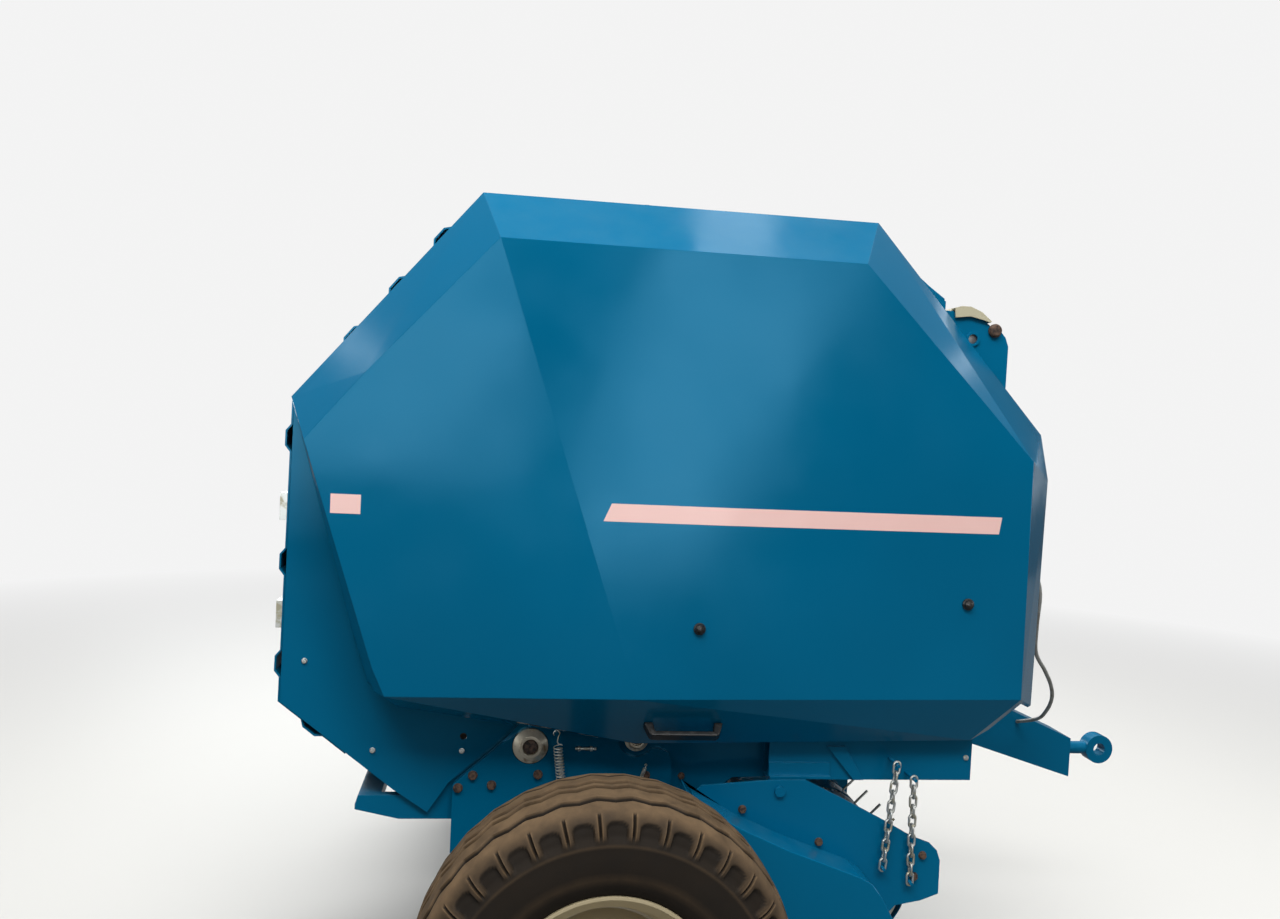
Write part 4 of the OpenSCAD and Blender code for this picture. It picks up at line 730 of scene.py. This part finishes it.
def loop_line(a, b):
    """The closed pitch line round two circles [x, z, radius]: two arcs and the straight runs between,
    as an even number of points in steps of about one pitch, and the length of a step."""
    (x0, z0, r0), (x1, z1, r1) = a, b
    span, along = math.hypot(x1 - x0, z1 - z0), math.atan2(z1 - z0, x1 - x0)
    lean = math.acos((r0 - r1) / span)
    t0 = np.linspace(along + lean, along + TAU - lean, 80)
    t1 = np.linspace(along - lean, along + lean, 80)
    line = np.concatenate([np.stack([x0 + r0 * np.cos(t0), z0 + r0 * np.sin(t0)], -1),
                           np.stack([x1 + r1 * np.cos(t1), z1 + r1 * np.sin(t1)], -1)])
    line = np.concatenate([line, line[:1]])
    run = np.concatenate([[0], np.cumsum(np.linalg.norm(np.diff(line, axis=0), axis=1))])
    count = 2 * round(run[-1] / CHAIN_PITCH / 2)
    s = np.arange(count) * run[-1] / count
    x, z = np.interp(s, run, line[:, 0]), np.interp(s, run, line[:, 1])
    return np.stack([x, z], -1), run[-1] / count


# Columns: the two pitch circles [x, z, radius], and the chain's inner face
low_roller = (383.0, 946.6)
drive_loops = [((820, GEAR_Z, 45), (*low_roller, 90), 540), ((*low_roller, 60), (95, 734, 60), 564)]
# Side plates across the chain: which of two links has them, and their faces
link_plates = ((0, 0.0, 1.2), (0, 6.8, 8.0), (1, 1.4, 2.4), (1, 5.6, 6.6))
shapes = []
for a, b, y in drive_loops:
    spots, pitch = loop_line(a, b)
    ahead = np.roll(spots, -1, axis=0)
    way = unit(ahead - spots)
    middle = (spots + ahead) / 2
    ups = np.stack([way[:, 0], 0 * way[:, 0], way[:, 1]], -1)
    axes = np.broadcast_to([0, 1.0, 0], ups.shape)
    for first, low, high in link_plates:
        plate = stadium(pitch + PLATE_W, PLATE_W, low, high)
        places = at(middle[first::2, 0], y, middle[first::2, 1])
        shapes.append(placed(plate, places, ups[first::2], axes[first::2]))
    roller = turned([(4.6, 0.4), (4.6, 7.6)], (0, 0, 0), (0, 0, 1), 10)
    shapes.append(placed(roller, at(spots[:, 0], y, spots[:, 1]), ups, axes))
piece = make("drive_chain_links", joined(shapes), chain_steel, "chassis", 40)
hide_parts("drive_chains")


# Splined stub, net roll and guide roller
def splined_stub(x0, length, r, splines=6, depth=2.2):
    """The drive stub: a collar, then a shaft whose radius dips between six splines with steep flanks,
    and a chamfered end."""
    stations = np.array([0, 10, 10.01, 12, 16, length + 4, length + 10])
    shares = np.array([0, 0, 0, 0, 1, 1, 1.0])
    radii = np.array([r + 8, r + 8, r, r, r, r, r - 2.4])
    a = np.arange(96) * TAU / 96
    dip = depth * step(np.cos(a * splines), -0.25, 0.25)
    ring = radii[:, None] - dip[None, :] * shares[:, None]
    x = np.broadcast_to((x0 + stations)[:, None], ring.shape)
    return ringed(at(x, ring * np.cos(a), GEAR_Z + ring * np.sin(a)))


piece = make("splined_drive_stub", splined_stub(900, 70, 17.5), ground_steel, "chassis", 30)
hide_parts("pto_stub")

NET_X, NET_Z, NET_R, NET_HALF = 790, 1634.3, 70, 472
a = np.linspace(0, NET_HALF * 2, 60)
wound = [(NET_R - 1.2 + 0.8 * math.sin(v / 31) + 0.4 * math.sin(v / 7.3), v) for v in a]
roll = turned([(25, 4)] + [(NET_R - 6, 0)] + wound + [(NET_R - 6, 2 * NET_HALF), (25, 2 * NET_HALF - 4)],
              at(NET_X, -NET_HALF, NET_Z), (0, 1, 0), 48)
piece = make("net_roll_wound", roll, net_white, "chassis", 40)
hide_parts("net_roll")
GUIDE_X, GUIDE_Z, GUIDE_R, GUIDE_HALF = 861, 1702, 11, 492
guide = turned([(GUIDE_R - 3, 0), (GUIDE_R, 1), (GUIDE_R, 2 * GUIDE_HALF - 1), (GUIDE_R - 3, 2 * GUIDE_HALF)],
               at(GUIDE_X, -GUIDE_HALF, GUIDE_Z), (0, 1, 0), 24)
make("net_guide_roller", guide, mill_steel, "chassis", 30)


# Stripes on the doors
DOOR_Y, FACET_FALL = 700, 0.05
# How far a stripe's back lies behind the door's face
SUNK = 0.2
CREASE_REAR = ((-263, 1829), (66, 876))
CREASE_FRONT = ((518, 1828), (66, 876))


def door_face_y(x, z):
    """Distance of a door's face from the middle: level between the creases, falling away beside them."""
    rear, front = (((x1 - x0) * (z0 - z) - (x0 - x) * (z1 - z0)) / math.hypot(x1 - x0, z1 - z0)
                   for (x0, z0), (x1, z1) in (CREASE_REAR, CREASE_FRONT))
    return DOOR_Y - FACET_FALL * np.maximum(np.maximum(rear, -front), 0)


def stripe(corners, side, lift=0.35):
    """A thin film between four corners [x, z] of the door's face, as a grid that follows the creases."""
    u, v = np.meshgrid(np.linspace(0, 1, 60), np.linspace(0, 1, 5))
    a, b, c, d = (np.asarray(p, float) for p in corners)
    x, z = ((1 - u) * (1 - v) * a[k] + u * (1 - v) * b[k] + u * v * c[k] + (1 - u) * v * d[k] for k in (0, 1))
    y = door_face_y(x, z)
    rows, cols = u.shape
    skin = grid_faces(rows, cols)
    rim = np.concatenate([np.arange(cols), np.arange(1, rows) * cols + cols - 1,
                          (rows - 1) * cols + np.arange(cols - 2, -1, -1), np.arange(rows - 2, 0, -1) * cols])
    count, after = rows * cols, np.roll(rim, -1)
    walls = np.stack([rim, rim + count, after + count, after], -1)
    outer, inner = at(x, side * (y + lift), z), at(x, side * (y - SUNK), z)
    points = np.concatenate([outer.reshape(-1, 3), inner.reshape(-1, 3)])
    faces = [skin, skin[:, ::-1] + count, walls]
    return points, outward(faces, side)


# Columns: name and corners, upper rear, upper front, lower front, lower rear
stripes = [("long", [(-8, 1292), (873, 1292), (868, 1254), (-24, 1254)]),
           ("short", [(-585, 1288), (-524, 1288), (-524, 1248), (-585, 1248)])]
for side, word in SIDES.items():
    for name, corners in stripes:
        make(f"stripe_{name}_{word}", stripe(corners, side), stripe_vinyl, "door_" + word, 60)


# Light and ground
def lamp(name, spot, target, size, power):
    """A soft rectangular lamp at a spot, aimed at a target, with its size in metres and power in watts."""
    light = bpy.data.lights.new(name, "AREA")
    light.shape = "RECTANGLE"
    light.size, light.size_y = size
    light.energy = power
    holder = bpy.data.objects.new(name, light)
    holder.location = spot
    way = unit(np.asarray(target, float) - np.asarray(spot, float))
    holder.rotation_euler = (math.acos(-way[2]), 0, math.atan2(-way[0], way[1]))
    bpy.context.scene.collection.objects.link(holder)


def screen(name, corners, brightness):
    """A flat screen of even brightness that only gloss sees, as a studio hangs cloths and light boxes."""
    made = bpy.data.materials.new(name)
    made.use_nodes = True
    made.node_tree.nodes.clear()
    glow = add(made.node_tree, "ShaderNodeEmission", {"Color": (0.92, 0.97, 1.0, 1), "Strength": brightness})
    add(made.node_tree, "ShaderNodeOutputMaterial", None, Surface=glow)
    flat = make(name, (np.asarray(corners, float), [np.arange(4)[None]]), made, None)
    for ray in ("camera", "diffuse", "transmission", "volume_scatter", "shadow"):
        setattr(flat, "visible_" + ray, False)


def seen_directly(tree):
    """1 for camera, glossy and transmission rays, and 0 for the light that spreads."""
    path = add(tree, "ShaderNodeLightPath").outputs
    shown = add(tree, "ShaderNodeMath", {"operation": "MAXIMUM"}, _0=path["Is Camera Ray"],
                _1=path["Is Glossy Ray"])
    return add(tree, "ShaderNodeMath", {"operation": "MAXIMUM"}, _0=shown, _1=path["Is Transmission Ray"])


BACKGROUND = (0.9, 0.9, 0.9, 1)
FLOOR_HALF = 30


def ground():
    """A pale floor that runs out into the white background between 2.5 and 7 m from the middle.
    The light that it throws back on the object is held down, as under a machine in a full hall."""
    made, tree, where, shader = finish_of("Pale sealed floor", Roughness=0.6)
    clear = seen_directly(tree)
    tint = add(tree, "ShaderNodeMix", {"data_type": "RGBA", 6: colour("#6e6a63"), 7: colour("#c9c8c4")},
               _0=clear)
    tree.links.new(tint.outputs[2], shader.inputs["Base Color"])
    away = add(tree, "ShaderNodeVectorMath", {"operation": "LENGTH"}, _0=where)
    far = add(tree, "ShaderNodeMapRange", {"From Min": 2.5, "From Max": 7.0}, Value=away.outputs["Value"])
    fade = add(tree, "ShaderNodeMath", {"operation": "MULTIPLY"}, _0=far, _1=clear)
    white = add(tree, "ShaderNodeEmission", {"Color": BACKGROUND, "Strength": 1.0})
    both = add(tree, "ShaderNodeMixShader", None, _0=fade, _1=shader, _2=white)
    end = next(n for n in tree.nodes if n.bl_idname == "ShaderNodeOutputMaterial")
    tree.links.new(both.outputs[0], end.inputs["Surface"])
    span = np.linspace(-FLOOR_HALF, FLOOR_HALF, 3)
    u, v = np.meshgrid(span, span)
    flat = np.stack([u, v, 0 * u - 0.001], -1)
    make("studio_floor", (flat, [grid_faces(3, 3)]), made, None)


# Screens: distance of the walls, height of the ceiling, and the stations of the narrow roof lights
WALL, TOP = 7.6, 4.5
ROOF_LIGHTS = (-5.0, -2.4, 0.2, 2.8, 5.4)
ROOF_LIGHT_W, ROOF_LIGHT_HALF = 0.4, 6
# Windows in the long walls. Columns: name and outline [x, z]
side_windows = [("rear_window", [(-4.2, 0.7), (-1.15, 0.7), (-1.15, 3.2), (-4.2, 3.2)]),
                ("middle_window", [(-0.1, 0.02), (1.4, 0.02), (2.95, 3.2), (0.75, 3.2)])]


def studio():
    """A white surround, soft lamps like a hall's roof lights, and screens for the gloss: a dark wall
    on each side with bright windows, a dim ground and a dim ceiling with narrow roof lights."""
    world = bpy.data.worlds.new("studio")
    bpy.context.scene.world = world
    world.use_nodes = True
    tree = world.node_tree
    tree.nodes.clear()
    clear = seen_directly(tree)
    soft = add(tree, "ShaderNodeBackground", {"Color": (0.95, 0.97, 1.0, 1), "Strength": 0.36})
    white = add(tree, "ShaderNodeBackground", {"Color": BACKGROUND, "Strength": 1.0})
    both = add(tree, "ShaderNodeMixShader", None, _0=clear, _1=soft, _2=white)
    add(tree, "ShaderNodeOutputWorld", None, Surface=both)
    lamp("roof lights", (0, 0, 5.2), (0, 0, 0), (7.0, 5.0), 230)
    lamp("side light, right", (-0.8, -3.7, 5.0), (0, -0.5, 1.0), (5.0, 1.6), 250)
    lamp("side light, left", (0.8, 3.7, 5.0), (0, 0.5, 1.0), (5.0, 1.6), 240)
    corners = np.array([(-WALL, -WALL), (WALL, -WALL), (WALL, WALL), (-WALL, WALL), (-WALL, -WALL)])
    for number, (a, b) in enumerate(zip(corners[:-1], corners[1:])):
        screen(f"dark_wall_{number}", [(*a, 0), (*b, 0), (*b, TOP), (*a, TOP)], 0.08)
    screen("dim_ceiling", [(*c, TOP) for c in corners[:4]], 0.22)
    screen("dim_ground", [(*c, 0.002) for c in corners[:4]], 0.22)
    under, half = TOP - 0.1, ROOF_LIGHT_HALF
    for number, x in enumerate(ROOF_LIGHTS):
        beside = x + ROOF_LIGHT_W
        screen(f"roof_light_{number}", [(x, -half, under), (beside, -half, under), (beside, half, under),
                                        (x, half, under)], 2.0)
    before = WALL - 0.2
    for side, word in SIDES.items():
        for name, outline in side_windows:
            screen(f"{name}_{word}", [(x, side * before, z) for x, z in outline], 5.0)
        for end, x in (("rear", -before), ("front", before)):
            low, high = side * 1.2, side * 4.4
            screen(f"end_window_{word}_{end}",
                   [(x, low, 0.9), (x, high, 0.9), (x, high, 2.9), (x, low, 2.9)], 3.0)
    bpy.context.scene.view_settings.view_transform = "Standard"


ground()
studio()
